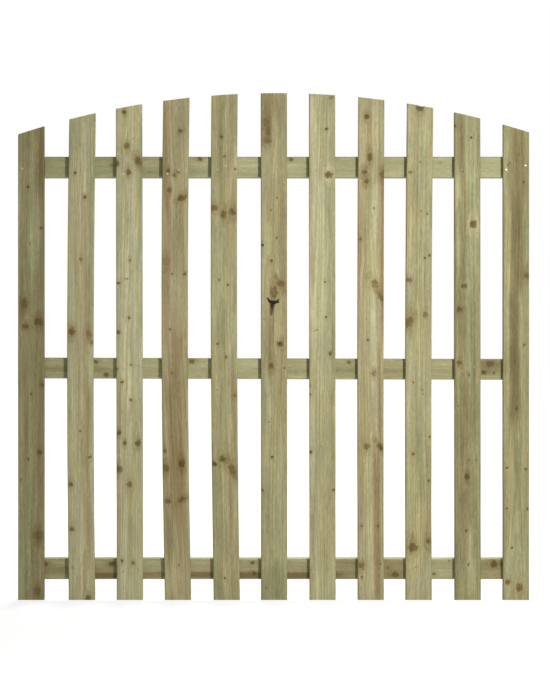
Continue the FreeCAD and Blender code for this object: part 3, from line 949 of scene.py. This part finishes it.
def knot_relief(layers):
    """How much each point belongs to a knot, from 0 to 1."""
    relief = 0
    for knot, look in layers:
        away = np.hypot(knot[:, 0], knot[:, 1])
        relief = np.maximum(relief, np.clip(1.2 - away, 0, 1) * look[:, 0])
    return relief


# %% [markdown]
# ## Shape of the surface
#
# Planed softwood isn't flat. A board cups a little across its width as it dries, a knot stands a
# touch proud because it shrinks less than the wood round it, and nails are driven in until they dent
# the wood. One picket has a Y-shaped cleft where a branch tore out, painted black as the shade in
# its depth, and one has a small break at its head. These are moved into the mesh, because they catch
# the light and show from the side.
# Faces that touch other boards stay flat, so that no board sinks into its neighbour.

# %% Relief
KNOT_PROUD = 0.3 * MM
DENT_DEPTH = 0.5 * MM
DENT_RADIUS = 5.0 * MM
CLEFT_DEPTH = 6.0 * MM
CLEFT_BROWN = 0.8
# How dark the cleft is painted, as the shade in its depth.
CLEFT_PAINTED_SHADE = 1.15
# The parts of the cleft, each from pixel to pixel, with half its width in millimetres at both ends
# and how deep it is.
CLEFT = [
    ((267.3, 298.2), (269.4, 301.2), 2.4, 3.8, 0.8),
    ((269.4, 301.2), (272.2, 302.8), 4.0, 5.4, 1.0),
    ((272.2, 302.8), (275.0, 302.2), 5.6, 5.0, 1.0),
    ((275.0, 302.2), (278.6, 301.8), 4.4, 2.0, 0.9),
    ((277.2, 300.8), (278.9, 299.2), 2.8, 1.6, 0.6),
    ((272.0, 303.6), (271.4, 307.2), 5.4, 2.8, 0.8),
    ((272.2, 303.4), (270.9, 314.6), 10.5, 3.0, 0.38),
]


def nearest_on_line(across, along, start, end):
    """How far each point is from a line, and how far along the line its nearest place is."""
    start = np.array(start)
    run = np.array(end) - start
    share = ((across - start[0]) * run[0] + (along - start[1]) * run[1]) / (run @ run)
    share = np.clip(share, 0, 1)
    away = np.hypot(across - start[0] - share * run[0], along - start[1] - share * run[1])
    return away, share


def cleft_depth(across, along):
    """How deep the cleft is at each point, from 0 to 1."""
    depth = np.zeros(len(across))
    for start, end, start_width, end_width, deepest in CLEFT:
        first = board_place("picket_06", *start)
        last = board_place("picket_06", *end)
        away, share = nearest_on_line(across, along, first, last)
        half_width = (start_width + share * (end_width - start_width)) * MM
        depth = np.maximum(depth, np.clip(1.35 - away / half_width, 0, 1) * deepest)
    return depth


def gather_rows(along, name, length):
    """Move a board's rows of points towards its knots, where the finest detail is."""
    steps = np.linspace(0, length, 4000)
    density = np.ones(len(steps))
    for knot in KNOTS[name]:
        _, start = board_place(name, knot[0], knot[1])
        reach = (knot[2] * 2.2 + 6) * MM
        density = np.maximum(density, 1 + 1.8 * np.exp(-(((steps - start) / reach) ** 2)))
    if name == "picket_06":
        _, start = board_place(name, *CLEFT[0][1])
        density += 3.5 * np.exp(-(((steps - start) / (18 * MM)) ** 2))
    total = np.concatenate([[0], np.cumsum((density[1:] + density[:-1]) / 2)])
    return np.interp(along / length, total / total[-1], steps)


# %% [markdown]
# ## Nails
#
# Two galvanised nails hold each picket to each rail, placed by hand, so they never line up quite.
# Only the top row shows clearly in the photograph, as small bright heads. A head starts as a short
# cylinder. Its rim is bevelled and its top is inset and raised, which gives the slightly domed head
# of a wire nail. It is modelled once and copied for each nail.

# %% Where the nails are
NAIL_RADIUS = 2.7 * MM
NAIL_PROUD = 0.35 * MM
NAIL_SUNK = 1.2 * MM
# For each picket: where its two nails show in the picture, and how brightly each shines.
TOP_NAILS = {
    "picket_01": ((22.4, 168.6, 0.55), (38.5, 170.5, 0.1)),
    "picket_02": ((75.0, 168.0, 0.1), (87.5, 170.0, 0.1)),
    "picket_03": ((123.3, 174.2, 0.65), (135.0, 170.0, 0.2)),
    "picket_04": ((167.5, 173.5, 0.65), (178.9, 169.8, 0.45)),
    "picket_05": ((217.2, 169.8, 0.35), (226.0, 166.0, 0.45)),
    "picket_06": ((265.8, 169.8, 0.3), (277.1, 167.2, 0.4)),
    "picket_07": ((315.5, 171.0, 0.2), (325.0, 166.0, 0.0)),
    "picket_08": ((364.0, 166.0, 0.0), (378.0, 168.0, 0.1)),
    "picket_09": ((412.5, 168.5, 0.1), (425.0, 169.5, 0.1)),
    "picket_10": ((462.0, 170.0, 0.1), (474.0, 166.5, 0.1)),
    "picket_11": ((506.2, 169.5, 0.9), (525.5, 165.4, 0.9)),
}
DULLEST = 0.0
DULL = 0.12
NAIL_JITTER = np.random.default_rng(7)
NAIL_PLACES = {rail: [] for rail in RAILS}
for picket, pair in TOP_NAILS.items():
    for across, down, shine in pair:
        x, z = from_picture(across, down)
        NAIL_PLACES["top_rail"].append((picket, x, z, shine))
for rail in ("middle_rail", "bottom_rail"):
    for picket in PICKETS:
        for side in (-1, 1):
            x = float(picket_middle(picket, float(rail_middle(rail, half_panel))))
            x += side * (24 + NAIL_JITTER.uniform(-5, 5)) * MM
            z = float(rail_middle(rail, x)) + NAIL_JITTER.uniform(-9, 9) * MM
            NAIL_PLACES[rail].append((picket, x, z, NAIL_JITTER.uniform(DULLEST, DULL)))
print({rail: len(places) for rail, places in NAIL_PLACES.items()}, "nails")

# %% [markdown]
# ## Pickets
#
# Each copy of the blank is now bent to its picket's outline. Its foot stays level, its head takes
# the slope of the arch, and its surface takes the relief. The points' own accounts of grain, knots
# and stains are worked out before the board is bent, so the grain bends with it.

# %% Picket blank
picket_width = float(OUTLINES["picket_01"][1][1].max() - OUTLINES["picket_01"][0][1].min())
blank_length = cad_high.z
picket_blank = saw_blank(
    "picket_blank",
    (picket_width, PICKET_THICKNESS, blank_length),
    PICKET_ROUND,
    cuts_across=28,
    cuts_deep=2,
)

# %% Fit the pickets
EDGE_ZONE = 5.0 * MM
SAW_ROUGHNESS = 0.35 * MM
HEAD_BREAK = {"picket_09": (420.5, 3.2, 2.6)}


def shape_picket(board, name, rough):
    """Give a blank one picket's knots, stains, relief and outline."""
    points = mesh_points(board.data)
    across = points[:, 0].copy()
    deep = points[:, 1].copy()
    share = points[:, 2] / blank_length
    (left_z, left_x), (right_z, right_x) = OUTLINES[name]

    head = head_height(name, across / picket_width + 0.5)
    along = gather_rows(share * blank_length, name, blank_length) / blank_length * head
    middle = (np.interp(along, left_z, left_x) + np.interp(along, right_z, right_x)) / 2

    grain, layers = grain_and_knots(name, across, deep, along, blank_length, front_y)
    to_side = picket_width / 2 - np.abs(across)
    edge_near = np.clip(1 - to_side / EDGE_ZONE, 0, 1)
    stain_and_light = stain_and_light_points(name, across, along, edge_near)

    cup = CHARACTERS[name][5] * MM
    facing = -np.clip(deep / (PICKET_THICKNESS / 2 - PICKET_ROUND), -1, 1)
    in_front = np.clip(facing, 0, 1)
    lift = cup * ((2 * across / picket_width) ** 2 - 0.5) * in_front
    proud = KNOT_PROUD * knot_relief(layers) * in_front
    for picket, x, z, _ in sum(NAIL_PLACES.values(), []):
        if picket == name:
            gap = np.hypot(middle + across - x, along - z) / DENT_RADIUS
            proud -= DENT_DEPTH * np.clip(1 - gap, 0, 1) * in_front
    if name == "picket_06":
        cleft = cleft_depth(across, along) * in_front
        proud -= CLEFT_DEPTH * cleft
        # The cleft is painted browner, and painted dark as the shade in its depth.
        stain_and_light[:, 0] += CLEFT_BROWN * cleft
        stain_and_light[:, 2] -= CLEFT_PAINTED_SHADE * cleft
    if name in HEAD_BREAK:
        pixel, half_width, depth = HEAD_BREAK[name]
        place, _ = from_picture(pixel, 108)
        near = np.clip(1 - np.abs(middle + across - place) / (half_width * MM_PER_PIXEL * MM), 0, 1)
        along -= depth * MM * near * np.clip((share - 0.985) / 0.015, 0, 1)

    sawn = (share > 1 - 1e-6) | (share < 1e-6)
    points[:, 0] = middle + across
    points[:, 1] = PICKET_MIDDLE_Y + deep + lift - proud
    points[:, 2] = along + sawn * rough.uniform(-1, 1, len(along)) * SAW_ROUGHNESS * (share > 0.5)
    board.data.vertices.foreach_set("co", points.ravel())
    board.data.update()
    keep_wood(board.data, grain, layers, stain_and_light)


rough = np.random.default_rng(3)
pickets = {}
for name in PICKETS:
    board = copy_blank(picket_blank, f"{name}_board")
    shape_picket(board, name, rough)
    pickets[name] = board
bpy.data.objects.remove(picket_blank)
print(len(pickets), "pickets shaped")

# %% [markdown]
# ## Rails
#
# The rails are heavier timber, 75 by 38 millimetres, with the same rounded edges. They lie along the
# panel behind the pickets. A blank is sawn upright as for a picket, so that its grain runs along it,
# and then laid down: what was its height becomes its place along the panel.

# %% Rails
rail_low, rail_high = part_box("top_rail")
rail_width = rail_high.z - rail_low.z
rail_thickness = rail_high.y - rail_low.y
rail_length = rail_high.x - rail_low.x
rail_middle_y = (rail_low.y + rail_high.y) / 2
RAIL_EDGE_PAINTED_LIGHT = 0.12
rail_blank = saw_blank(
    "rail_blank",
    (rail_width, rail_thickness, rail_length),
    RAIL_ROUND,
    cuts_across=22,
    cuts_deep=7,
)


def shape_rail(board, name):
    """Give a blank one rail's knots and stains, and lay it along the panel."""
    points = mesh_points(board.data)
    across = points[:, 0].copy()
    deep = points[:, 1].copy()
    along = gather_rows(points[:, 2], name, rail_length)

    face = -rail_thickness / 2
    grain, layers = grain_and_knots(name, across, deep, along, rail_length, face)
    to_side = rail_width / 2 - np.abs(across)
    edge_near = np.clip(1 - to_side / EDGE_ZONE, 0, 1)
    stain_and_light = stain_and_light_points(name, across, along, edge_near)
    # Painted light: a rail's long edges and its narrow top and bottom sides are made lighter, as if lit
    # from above and from the floor.
    stain_and_light[:, 2] += RAIL_EDGE_PAINTED_LIGHT * edge_near
    behind = np.clip(deep / (rail_thickness / 2 - RAIL_ROUND), 0, 1)
    proud = -KNOT_PROUD * knot_relief(layers) * behind

    points[:, 0] = along
    points[:, 1] = rail_middle_y + deep - proud
    points[:, 2] = rail_middle(name, along) - across
    board.data.vertices.foreach_set("co", points.ravel())
    board.data.update()
    keep_wood(board.data, grain, layers, stain_and_light)


rails = {}
for name in RAILS:
    board = copy_blank(rail_blank, f"{name}_timber")
    shape_rail(board, name)
    rails[name] = board
bpy.data.objects.remove(rail_blank)
print(len(rails), "rails shaped")

# %% [markdown]
# ## Nail heads
#
# The nails of one rail become one piece, because they share a finish and never move apart.

# %% Nail heads
def model_nail():
    """One nail head that faces the front, at the origin."""
    depth = NAIL_PROUD + NAIL_SUNK
    bpy.ops.object.select_all(action="DESELECT")
    bpy.ops.mesh.primitive_cylinder_add(
        vertices=20,
        radius=NAIL_RADIUS,
        depth=depth,
        location=(0, NAIL_SUNK - depth / 2, 0),
        rotation=(math.radians(90), 0, 0),
    )
    nail = bpy.context.object
    bpy.ops.object.transform_apply(location=True, rotation=True, scale=True)
    bpy.ops.object.mode_set(mode="OBJECT")
    front = [face.center.y < -NAIL_PROUD + HAIR for face in nail.data.polygons]
    nail.data.vertices.foreach_set("select", np.zeros(len(nail.data.vertices), dtype=bool))
    nail.data.edges.foreach_set("select", np.zeros(len(nail.data.edges), dtype=bool))
    nail.data.polygons.foreach_set("select", front)
    bpy.context.tool_settings.mesh_select_mode = (False, False, True)
    bpy.ops.object.mode_set(mode="EDIT")
    bpy.ops.mesh.inset(thickness=0.5 * MM, depth=0.22 * MM)
    bpy.ops.mesh.inset(thickness=1.1 * MM, depth=0.12 * MM)
    bpy.ops.object.mode_set(mode="OBJECT")
    bpy.ops.object.shade_smooth_by_angle(angle=math.radians(50))
    return nail


def nail_row(nail, rail):
    """Copy the nail to every place on one rail and join the copies."""
    bpy.ops.object.select_all(action="DESELECT")
    for _, x, z, shine in NAIL_PLACES[rail]:
        copy = copy_blank(nail, f"nails_{rail}")
        copy.data.transform(Matrix.Translation((x, front_y + NAIL_PROUD * 0.3, z)))
        bright = copy.data.attributes.new("shine", "FLOAT", "POINT")
        bright.data.foreach_set("value", np.full(len(copy.data.vertices), shine, dtype=np.float32))
        copy.select_set(True)
        bpy.context.view_layer.objects.active = copy
    bpy.ops.object.join()
    row = bpy.context.object
    row.name = f"nails_{rail}"
    return row


nail = model_nail()
nail_rows = {rail: nail_row(nail, rail) for rail in RAILS}
bpy.data.objects.remove(nail)
print({rail: len(row.data.polygons) for rail, row in nail_rows.items()}, "nail faces")

# %% [markdown]
# ## Treated softwood
#
# Real softwood shows its growth rings as lines, because the wood that grows late in the year is
# darker. On a flat-sawn face the lines run nearly along the board and close in long arches. The
# first node group works them out from the distance to the pith. The second gives the fine fibres,
# the threads, streaks and flecks that run with them, and soft clouds of colour. Each is noise that is
# stretched along the grain, and each goes from about -1 to 1.

# %% Growth rings and fibres
def make_ring_group():
    group, start, end = new_group(
        "Growth rings",
        [("Grain", "NodeSocketVector", None), ("Ring Width", "NodeSocketFloat", 0.0042)],
        [("Late Wood", "NodeSocketFloat"), ("Year", "NodeSocketFloat")],
    )
    grain = start.outputs["Grain"]
    flat = vector_sum(group, "MULTIPLY", grain, (1, 1, 0))
    distance = vector_sum(group, "LENGTH", flat)
    sway = sum_up(group, "SUBTRACT", cloud(group, grain, (14, 14, 1.6)), 0.5)
    ripple = sum_up(group, "SUBTRACT", cloud(group, grain, (70, 70, 9)), 0.5)
    distance = sum_up(group, "MULTIPLY_ADD", sway, 0.014, distance)
    distance = sum_up(group, "MULTIPLY_ADD", ripple, 0.0012, distance)
    years = sum_up(group, "DIVIDE", distance, start.outputs["Ring Width"])
    season = sum_up(group, "FRACT", years)
    rise = mask_between(group, season, 0.35, 0.88)
    fall = mask_between(group, season, 0.93, 1.0, 1.0, 0.0)
    feed(group, end.inputs["Late Wood"], sum_up(group, "MULTIPLY", rise, fall))
    chance = add_node(group, "ShaderNodeTexWhiteNoise", noise_dimensions="1D")
    feed(group, chance.inputs["W"], sum_up(group, "FLOOR", years))
    feed(group, end.inputs["Year"], chance.outputs["Value"])
    return group


def make_fibre_group():
    group, start, end = new_group(
        "Wood fibre",
        [("Grain", "NodeSocketVector", None), ("Lines", "NodeSocketFloat", 1.0)],
        [
            ("Fine", "NodeSocketFloat"),
            ("Thread", "NodeSocketFloat"),
            ("Streak", "NodeSocketFloat"),
            ("Fleck", "NodeSocketFloat"),
            ("Cloud", "NodeSocketFloat"),
        ],
    )
    grain = start.outputs["Grain"]
    lines = start.outputs["Lines"]
    for name, across, along, detail, strength in (
        ("Fine", 1400, 20, 3.0, 1.0),
        ("Thread", 330, 4.0, 2.0, lines),
        ("Streak", 110, 1.6, 2.0, lines),
        ("Fleck", 240, 55, 3.0, 1.0),
        ("Cloud", 35, 5.0, 7.0, lines),
    ):
        value = cloud(group, grain, (across, across, along), detail, 0.7)
        spread = sum_up(group, "MULTIPLY_ADD", value, 2.0, -1.0)
        feed(group, end.inputs[name], sum_up(group, "MULTIPLY", spread, strength))
    return group


RING_GROUP = make_ring_group()
FIBRE_GROUP = make_fibre_group()
print("groups:", RING_GROUP.name, "and", FIBRE_GROUP.name)

# %% [markdown]
# A knot is the cut end of a branch: a dark heart, a mottled brown body, a broken rim of bark, and
# wood round it that is stained brown, or paler. The third group turns a point's distance to the
# nearest branch into these masks, with noise added to the distance, because no branch is round. The
# noise follows the point's position, not the grain, because the grain parts round a knot.

# %% Knots
def make_knot_group():
    group, start, end = new_group(
        "Knots",
        [
            ("Place", "NodeSocketVector", None),
            ("Look", "NodeSocketVector", None),
            ("Position", "NodeSocketVector", None),
        ],
        [
            ("Body", "NodeSocketFloat"),
            ("Heart", "NodeSocketFloat"),
            ("Rim", "NodeSocketFloat"),
            ("Pale Halo", "NodeSocketFloat"),
            ("Brown Halo", "NodeSocketFloat"),
            ("Swirl", "NodeSocketFloat"),
        ],
    )
    place = start.outputs["Place"]
    position = start.outputs["Position"]
    guard = add_node(group, "ShaderNodeSeparateXYZ")
    feed(group, guard.inputs[0], place)
    look = add_node(group, "ShaderNodeSeparateXYZ")
    feed(group, look.inputs[0], start.outputs["Look"])
    ragged = sum_up(group, "SUBTRACT", cloud(group, position, (160, 160, 160)), 0.5)
    torn = sum_up(group, "SUBTRACT", cloud(group, position, (480, 480, 480), 3.0, 0.7), 0.5)
    mottle = mask_between(group, cloud(group, position, (330, 330, 330), 3.0, 0.65), 0.36, 0.64)
    crescent = mask_between(group, cloud(group, position, (90, 90, 90)), 0.4, 0.58)

    away = vector_sum(group, "LENGTH", vector_sum(group, "MULTIPLY", place, (1, 1, 0)))
    away = sum_up(group, "MULTIPLY_ADD", ragged, 1.3, away)
    away = sum_up(group, "MULTIPLY_ADD", torn, 0.9, away)
    allowed = mask_between(group, guard.outputs["Z"], 0.0, 0.7, 1.0, 0.0)
    strength = sum_up(group, "MULTIPLY", allowed, look.outputs["X"])
    body = mask_between(group, away, 0.7, 1.35, 1.0, 0.0)
    feed(group, end.inputs["Body"], sum_up(group, "MULTIPLY", body, strength))
    heart = mask_between(group, away, 0.0, 1.15, 1.0, 0.0)
    heart = sum_up(group, "MULTIPLY", heart, sum_up(group, "MULTIPLY", look.outputs["Y"], 1.25))
    heart = sum_up(group, "MULTIPLY_ADD", sum_up(group, "SUBTRACT", mottle, 0.5), 0.5, heart)
    feed(group, end.inputs["Heart"], heart)
    rim_rise = mask_between(group, away, 0.6, 1.0)
    rim_fall = mask_between(group, away, 1.0, 1.45, 1.0, 0.0)
    rim = sum_up(group, "MULTIPLY", rim_rise, rim_fall)
    rim = sum_up(group, "MULTIPLY", rim, crescent)
    feed(group, end.inputs["Rim"], sum_up(group, "MULTIPLY", rim, strength))

    far = vector_sum(group, "LENGTH", vector_sum(group, "MULTIPLY", place, (1, 0.55, 0)))
    far = sum_up(group, "MULTIPLY_ADD", ragged, 2.6, far)
    far = sum_up(group, "MULTIPLY_ADD", torn, 1.4, far)
    halo = mask_between(group, far, 0.5, 2.9, 1.0, 0.0)
    halo = sum_up(group, "MULTIPLY", halo, allowed)
    pale = sum_up(group, "MAXIMUM", look.outputs["Z"], 0.0)
    brown = sum_up(group, "MAXIMUM", sum_up(group, "MULTIPLY", look.outputs["Z"], -1.0), 0.0)
    feed(group, end.inputs["Pale Halo"], sum_up(group, "MULTIPLY", halo, pale))
    feed(group, end.inputs["Brown Halo"], sum_up(group, "MULTIPLY", halo, brown))
    swirl = sum_up(group, "SINE", sum_up(group, "MULTIPLY", far, 7.5))
    swirl = mask_between(group, swirl, 0.0, 0.9)
    outside = mask_between(group, away, 0.8, 1.4)
    swirl = sum_up(group, "MULTIPLY", sum_up(group, "MULTIPLY", swirl, outside), halo)
    swirl = sum_up(group, "MULTIPLY", swirl, sum_up(group, "ABSOLUTE", look.outputs["Z"]))
    feed(group, end.inputs["Swirl"], swirl)
    return group


KNOT_GROUP = make_knot_group()
print("group:", KNOT_GROUP.name)

# %% [markdown]
# The material lays the colours over each other as the wood does: pale and yellower sapwood, the
# green of the preservative, brown heartwood, the late wood's lines, then halos and knots, and last a
# tone that makes bands and threads lighter or darker. The sawn ends soak up more preservative and
# are duller. Roughness and a shallow bump follow the same fibres and rings. The rails are cut from
# slower, more even timber than the pickets, so their lines are fainter.

# %% Timber material
SAPWOOD = paint(174, 167, 142)
YELLOW_SAPWOOD = paint(177, 170, 112)
GREEN_SAPWOOD = paint(144, 150, 110)
HEARTWOOD = paint(152, 135, 97)
LATE_WOOD = paint(140, 122, 76)
KNOT_BROWN = paint(124, 103, 57)
KNOT_DARK = paint(52, 42, 18)
HALO_BROWN = paint(138, 121, 72)
HALO_PALE = paint(204, 192, 148)
END_GRAIN = paint(138, 130, 94)
TONE_CURVE = (2.2, 2.45, 3.2)


def read_attribute(tree, name):
    return add_node(tree, "ShaderNodeAttribute", attribute_name=name).outputs["Vector"]


def use_group(tree, group, **values):
    node = add_node(tree, "ShaderNodeGroup", node_tree=group)
    for name, value in values.items():
        feed(tree, node.inputs[name.replace("_", " ")], value)
    return node.outputs


def grain_colour(tree, stain_and_light, rings, fibre, late_strength):
    """Clear wood: sapwood, preservative, heartwood and the lines of late wood."""
    yearly = sum_up(tree, "SUBTRACT", rings["Year"], 0.5)
    yellow = sum_up(tree, "MULTIPLY_ADD", fibre["Thread"], -0.7, 0.5)
    yellow = sum_up(tree, "MULTIPLY_ADD", fibre["Streak"], -0.6, yellow)
    yellow = sum_up(tree, "MULTIPLY_ADD", fibre["Cloud"], 0.6, yellow)
    colour = mix_colours(tree, yellow, SAPWOOD, YELLOW_SAPWOOD)
    green = sum_up(tree, "MULTIPLY_ADD", fibre["Cloud"], -0.5, stain_and_light.outputs["Y"])
    green = sum_up(tree, "MULTIPLY_ADD", fibre["Streak"], 0.5, green)
    colour = mix_colours(tree, green, colour, GREEN_SAPWOOD)
    brown = sum_up(tree, "MULTIPLY_ADD", fibre["Streak"], -0.4, stain_and_light.outputs["X"])
    brown = sum_up(tree, "MULTIPLY_ADD", fibre["Thread"], -0.2, brown)
    brown = sum_up(tree, "MULTIPLY_ADD", yearly, 0.25, brown)
    colour = mix_colours(tree, brown, colour, HEARTWOOD)
    late = sum_up(tree, "MULTIPLY_ADD", fibre["Cloud"], 0.8, late_strength)
    late = sum_up(tree, "MULTIPLY", sum_up(tree, "MAXIMUM", late, 0.05), rings["Late Wood"])
    return mix_colours(tree, late, colour, LATE_WOOD)


def knot_colour(tree, colour, knots):
    """Lay the halos and knots over clear wood."""
    colour = mix_colours(tree, sum_up(tree, "MULTIPLY", knots["Pale Halo"], 0.9), colour, HALO_PALE)
    colour = mix_colours(tree, sum_up(tree, "MULTIPLY", knots["Brown Halo"], 0.7), colour, HALO_BROWN)
    colour = mix_colours(tree, sum_up(tree, "MULTIPLY", knots["Swirl"], 0.55), colour, KNOT_BROWN)
    body = mix_colours(tree, knots["Heart"], KNOT_BROWN, KNOT_DARK)
    colour = mix_colours(tree, knots["Body"], colour, body)
    return mix_colours(tree, sum_up(tree, "MULTIPLY", knots["Rim"], 0.6), colour, KNOT_DARK)


def tone_of(tree, stain_and_light, rings, fibre):
    """How light the wood is, as the eye counts it, turned into a linear colour.

    Dark wood is browner than light wood, so green and blue fall faster than red.
    """
    # The lightness carries painted light and shade too: at the edges, in the cleft and in streaks as
    # wide as a board.
    light = stain_and_light.outputs["Z"]
    for value, share in (
        (fibre["Fine"], 0.08),
        (fibre["Thread"], 0.11),
        (fibre["Streak"], 0.13),
        (fibre["Fleck"], 0.15),
        (fibre["Cloud"], 0.22),
        (sum_up(tree, "SUBTRACT", rings["Year"], 0.5), 0.06),
    ):
        light = sum_up(tree, "MULTIPLY_ADD", value, share, light)
    light = sum_up(tree, "MAXIMUM", light, 0.02)
    tone = add_node(tree, "ShaderNodeCombineColor")
    for socket, curve in zip(tone.inputs, TONE_CURVE):
        feed(tree, socket, sum_up(tree, "POWER", light, curve))
    return tone.outputs[0]


def sawn_end(tree, axis):
    """A mask for the sawn ends, whose faces look along one axis."""
    facing = add_node(tree, "ShaderNodeSeparateXYZ")
    feed(tree, facing.inputs[0], add_node(tree, "ShaderNodeTexCoord").outputs["Normal"])
    return mask_between(tree, sum_up(tree, "ABSOLUTE", facing.outputs[axis]), 0.75, 0.9)


def make_timber(name, ring_width, late_strength, lines, end_axis):
    material = bpy.data.materials.new(name)
    material.use_nodes = True
    tree = material.node_tree
    tree.nodes.clear()
    grain = read_attribute(tree, "grain")
    stain_and_light = add_node(tree, "ShaderNodeSeparateXYZ")
    feed(tree, stain_and_light.inputs[0], read_attribute(tree, "stain_and_light"))
    rings = use_group(tree, RING_GROUP, Grain=grain, Ring_Width=ring_width)
    fibre = use_group(tree, FIBRE_GROUP, Grain=grain, Lines=lines)
    colour = grain_colour(tree, stain_and_light, rings, fibre, late_strength)
    position = add_node(tree, "ShaderNodeTexCoord").outputs["Object"]
    rim = 0
    for letter in "ab":
        place = read_attribute(tree, f"knot_{letter}")
        look = read_attribute(tree, f"look_{letter}")
        knots = use_group(tree, KNOT_GROUP, Place=place, Look=look, Position=position)
        colour = knot_colour(tree, colour, knots)
        rim = sum_up(tree, "ADD", knots["Rim"], rim)
    end_colour = mix_colours(tree, rings["Late Wood"], END_GRAIN, LATE_WOOD)
    sawn = sum_up(tree, "MULTIPLY", sawn_end(tree, end_axis), 0.7)
    colour = mix_colours(tree, sawn, colour, end_colour)
    colour = mix_colours(tree, 1.0, colour, tone_of(tree, stain_and_light, rings, fibre), "MULTIPLY")

    shader = add_node(tree, "ShaderNodeBsdfPrincipled")
    shader.inputs["Specular IOR Level"].default_value = 0.3
    feed(tree, shader.inputs["Base Color"], colour)
    rough = sum_up(tree, "MULTIPLY_ADD", rings["Late Wood"], -0.1, 0.74)
    feed(tree, shader.inputs["Roughness"], sum_up(tree, "MULTIPLY_ADD", fibre["Fine"], 0.08, rough))

    height = sum_up(tree, "MULTIPLY_ADD", rings["Late Wood"], 0.35, fibre["Fine"])
    height = sum_up(tree, "MULTIPLY_ADD", fibre["Thread"], 0.6, height)
    height = sum_up(tree, "MULTIPLY_ADD", rim, -1.2, height)
    bump = add_node(tree, "ShaderNodeBump")
    bump.inputs["Strength"].default_value = 0.5
    bump.inputs["Distance"].default_value = 0.25 * MM
    feed(tree, bump.inputs["Height"], height)
    feed(tree, shader.inputs["Normal"], bump.outputs[0])
    surface = add_node(tree, "ShaderNodeOutputMaterial")
    feed(tree, surface.inputs["Surface"], shader.outputs[0])
    return material


picket_timber = make_timber("Picket timber", 0.0038, 0.4, 1.0, "Z")
rail_timber = make_timber("Rail timber", 0.0032, 0.15, 0.45, "X")
print("materials:", picket_timber.name, "and", rail_timber.name)

# %% [markdown]
# ## Galvanised steel
#
# Nail heads are dipped in zinc. Most have been stained by the preservative and have gone as dull as
# the wood, and a few still shine where the hammer scuffed them. So each nail carries an attribute
# that says how bright it is, and the material goes from stained zinc to bright metal with it.

# %% Nail material
ZINC = paint(226, 220, 202)
STAINED_ZINC = paint(138, 134, 104)


def make_zinc():
    material = bpy.data.materials.new("Galvanised steel")
    material.use_nodes = True
    tree = material.node_tree
    tree.nodes.clear()
    place = add_node(tree, "ShaderNodeTexCoord").outputs["Object"]
    mottle = cloud(tree, place, (900, 900, 900), 2.0, 0.6)
    bright = add_node(tree, "ShaderNodeAttribute", attribute_name="shine").outputs["Fac"]
    clean = sum_up(tree, "MULTIPLY_ADD", sum_up(tree, "SUBTRACT", mottle, 0.5), 0.5, bright)
    clean = mask_between(tree, clean, 0.0, 1.0)
    shader = add_node(tree, "ShaderNodeBsdfPrincipled")
    feed(tree, shader.inputs["Metallic"], sum_up(tree, "MULTIPLY", clean, 0.9))
    feed(tree, shader.inputs["Base Color"], mix_colours(tree, clean, STAINED_ZINC, ZINC))
    feed(tree, shader.inputs["Roughness"], sum_up(tree, "MULTIPLY_ADD", clean, -0.3, 0.7))
    bump = add_node(tree, "ShaderNodeBump")
    bump.inputs["Strength"].default_value = 0.4
    bump.inputs["Distance"].default_value = 0.1 * MM
    feed(tree, bump.inputs["Height"], mottle)
    feed(tree, shader.inputs["Normal"], bump.outputs[0])
    surface = add_node(tree, "ShaderNodeOutputMaterial")
    feed(tree, surface.inputs["Surface"], shader.outputs[0])
    return material


zinc = make_zinc()
print("material:", zinc.name)

# %% [markdown]
# ## Dress the boards and join the frame
#
# Every piece gets its material and smooth shading, rides on the panel's one body, and takes the
# place of its plain CAD board.

# %% Dress and ride
SMOOTH_BELOW = math.radians(35)


def dress(piece, material):
    bpy.ops.object.select_all(action="DESELECT")
    piece.select_set(True)
    bpy.context.view_layer.objects.active = piece
    bpy.ops.object.shade_smooth_by_angle(angle=SMOOTH_BELOW)
    piece.data.materials.clear()
    piece.data.materials.append(material)
    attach(piece, "root")


for name, board in pickets.items():
    dress(board, picket_timber)
    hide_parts(name)
for name, board in rails.items():
    dress(board, rail_timber)
    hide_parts(name)
for row in nail_rows.values():
    dress(row, zinc)
print(len(pickets) + len(rails) + len(nail_rows), "pieces ride on the panel")
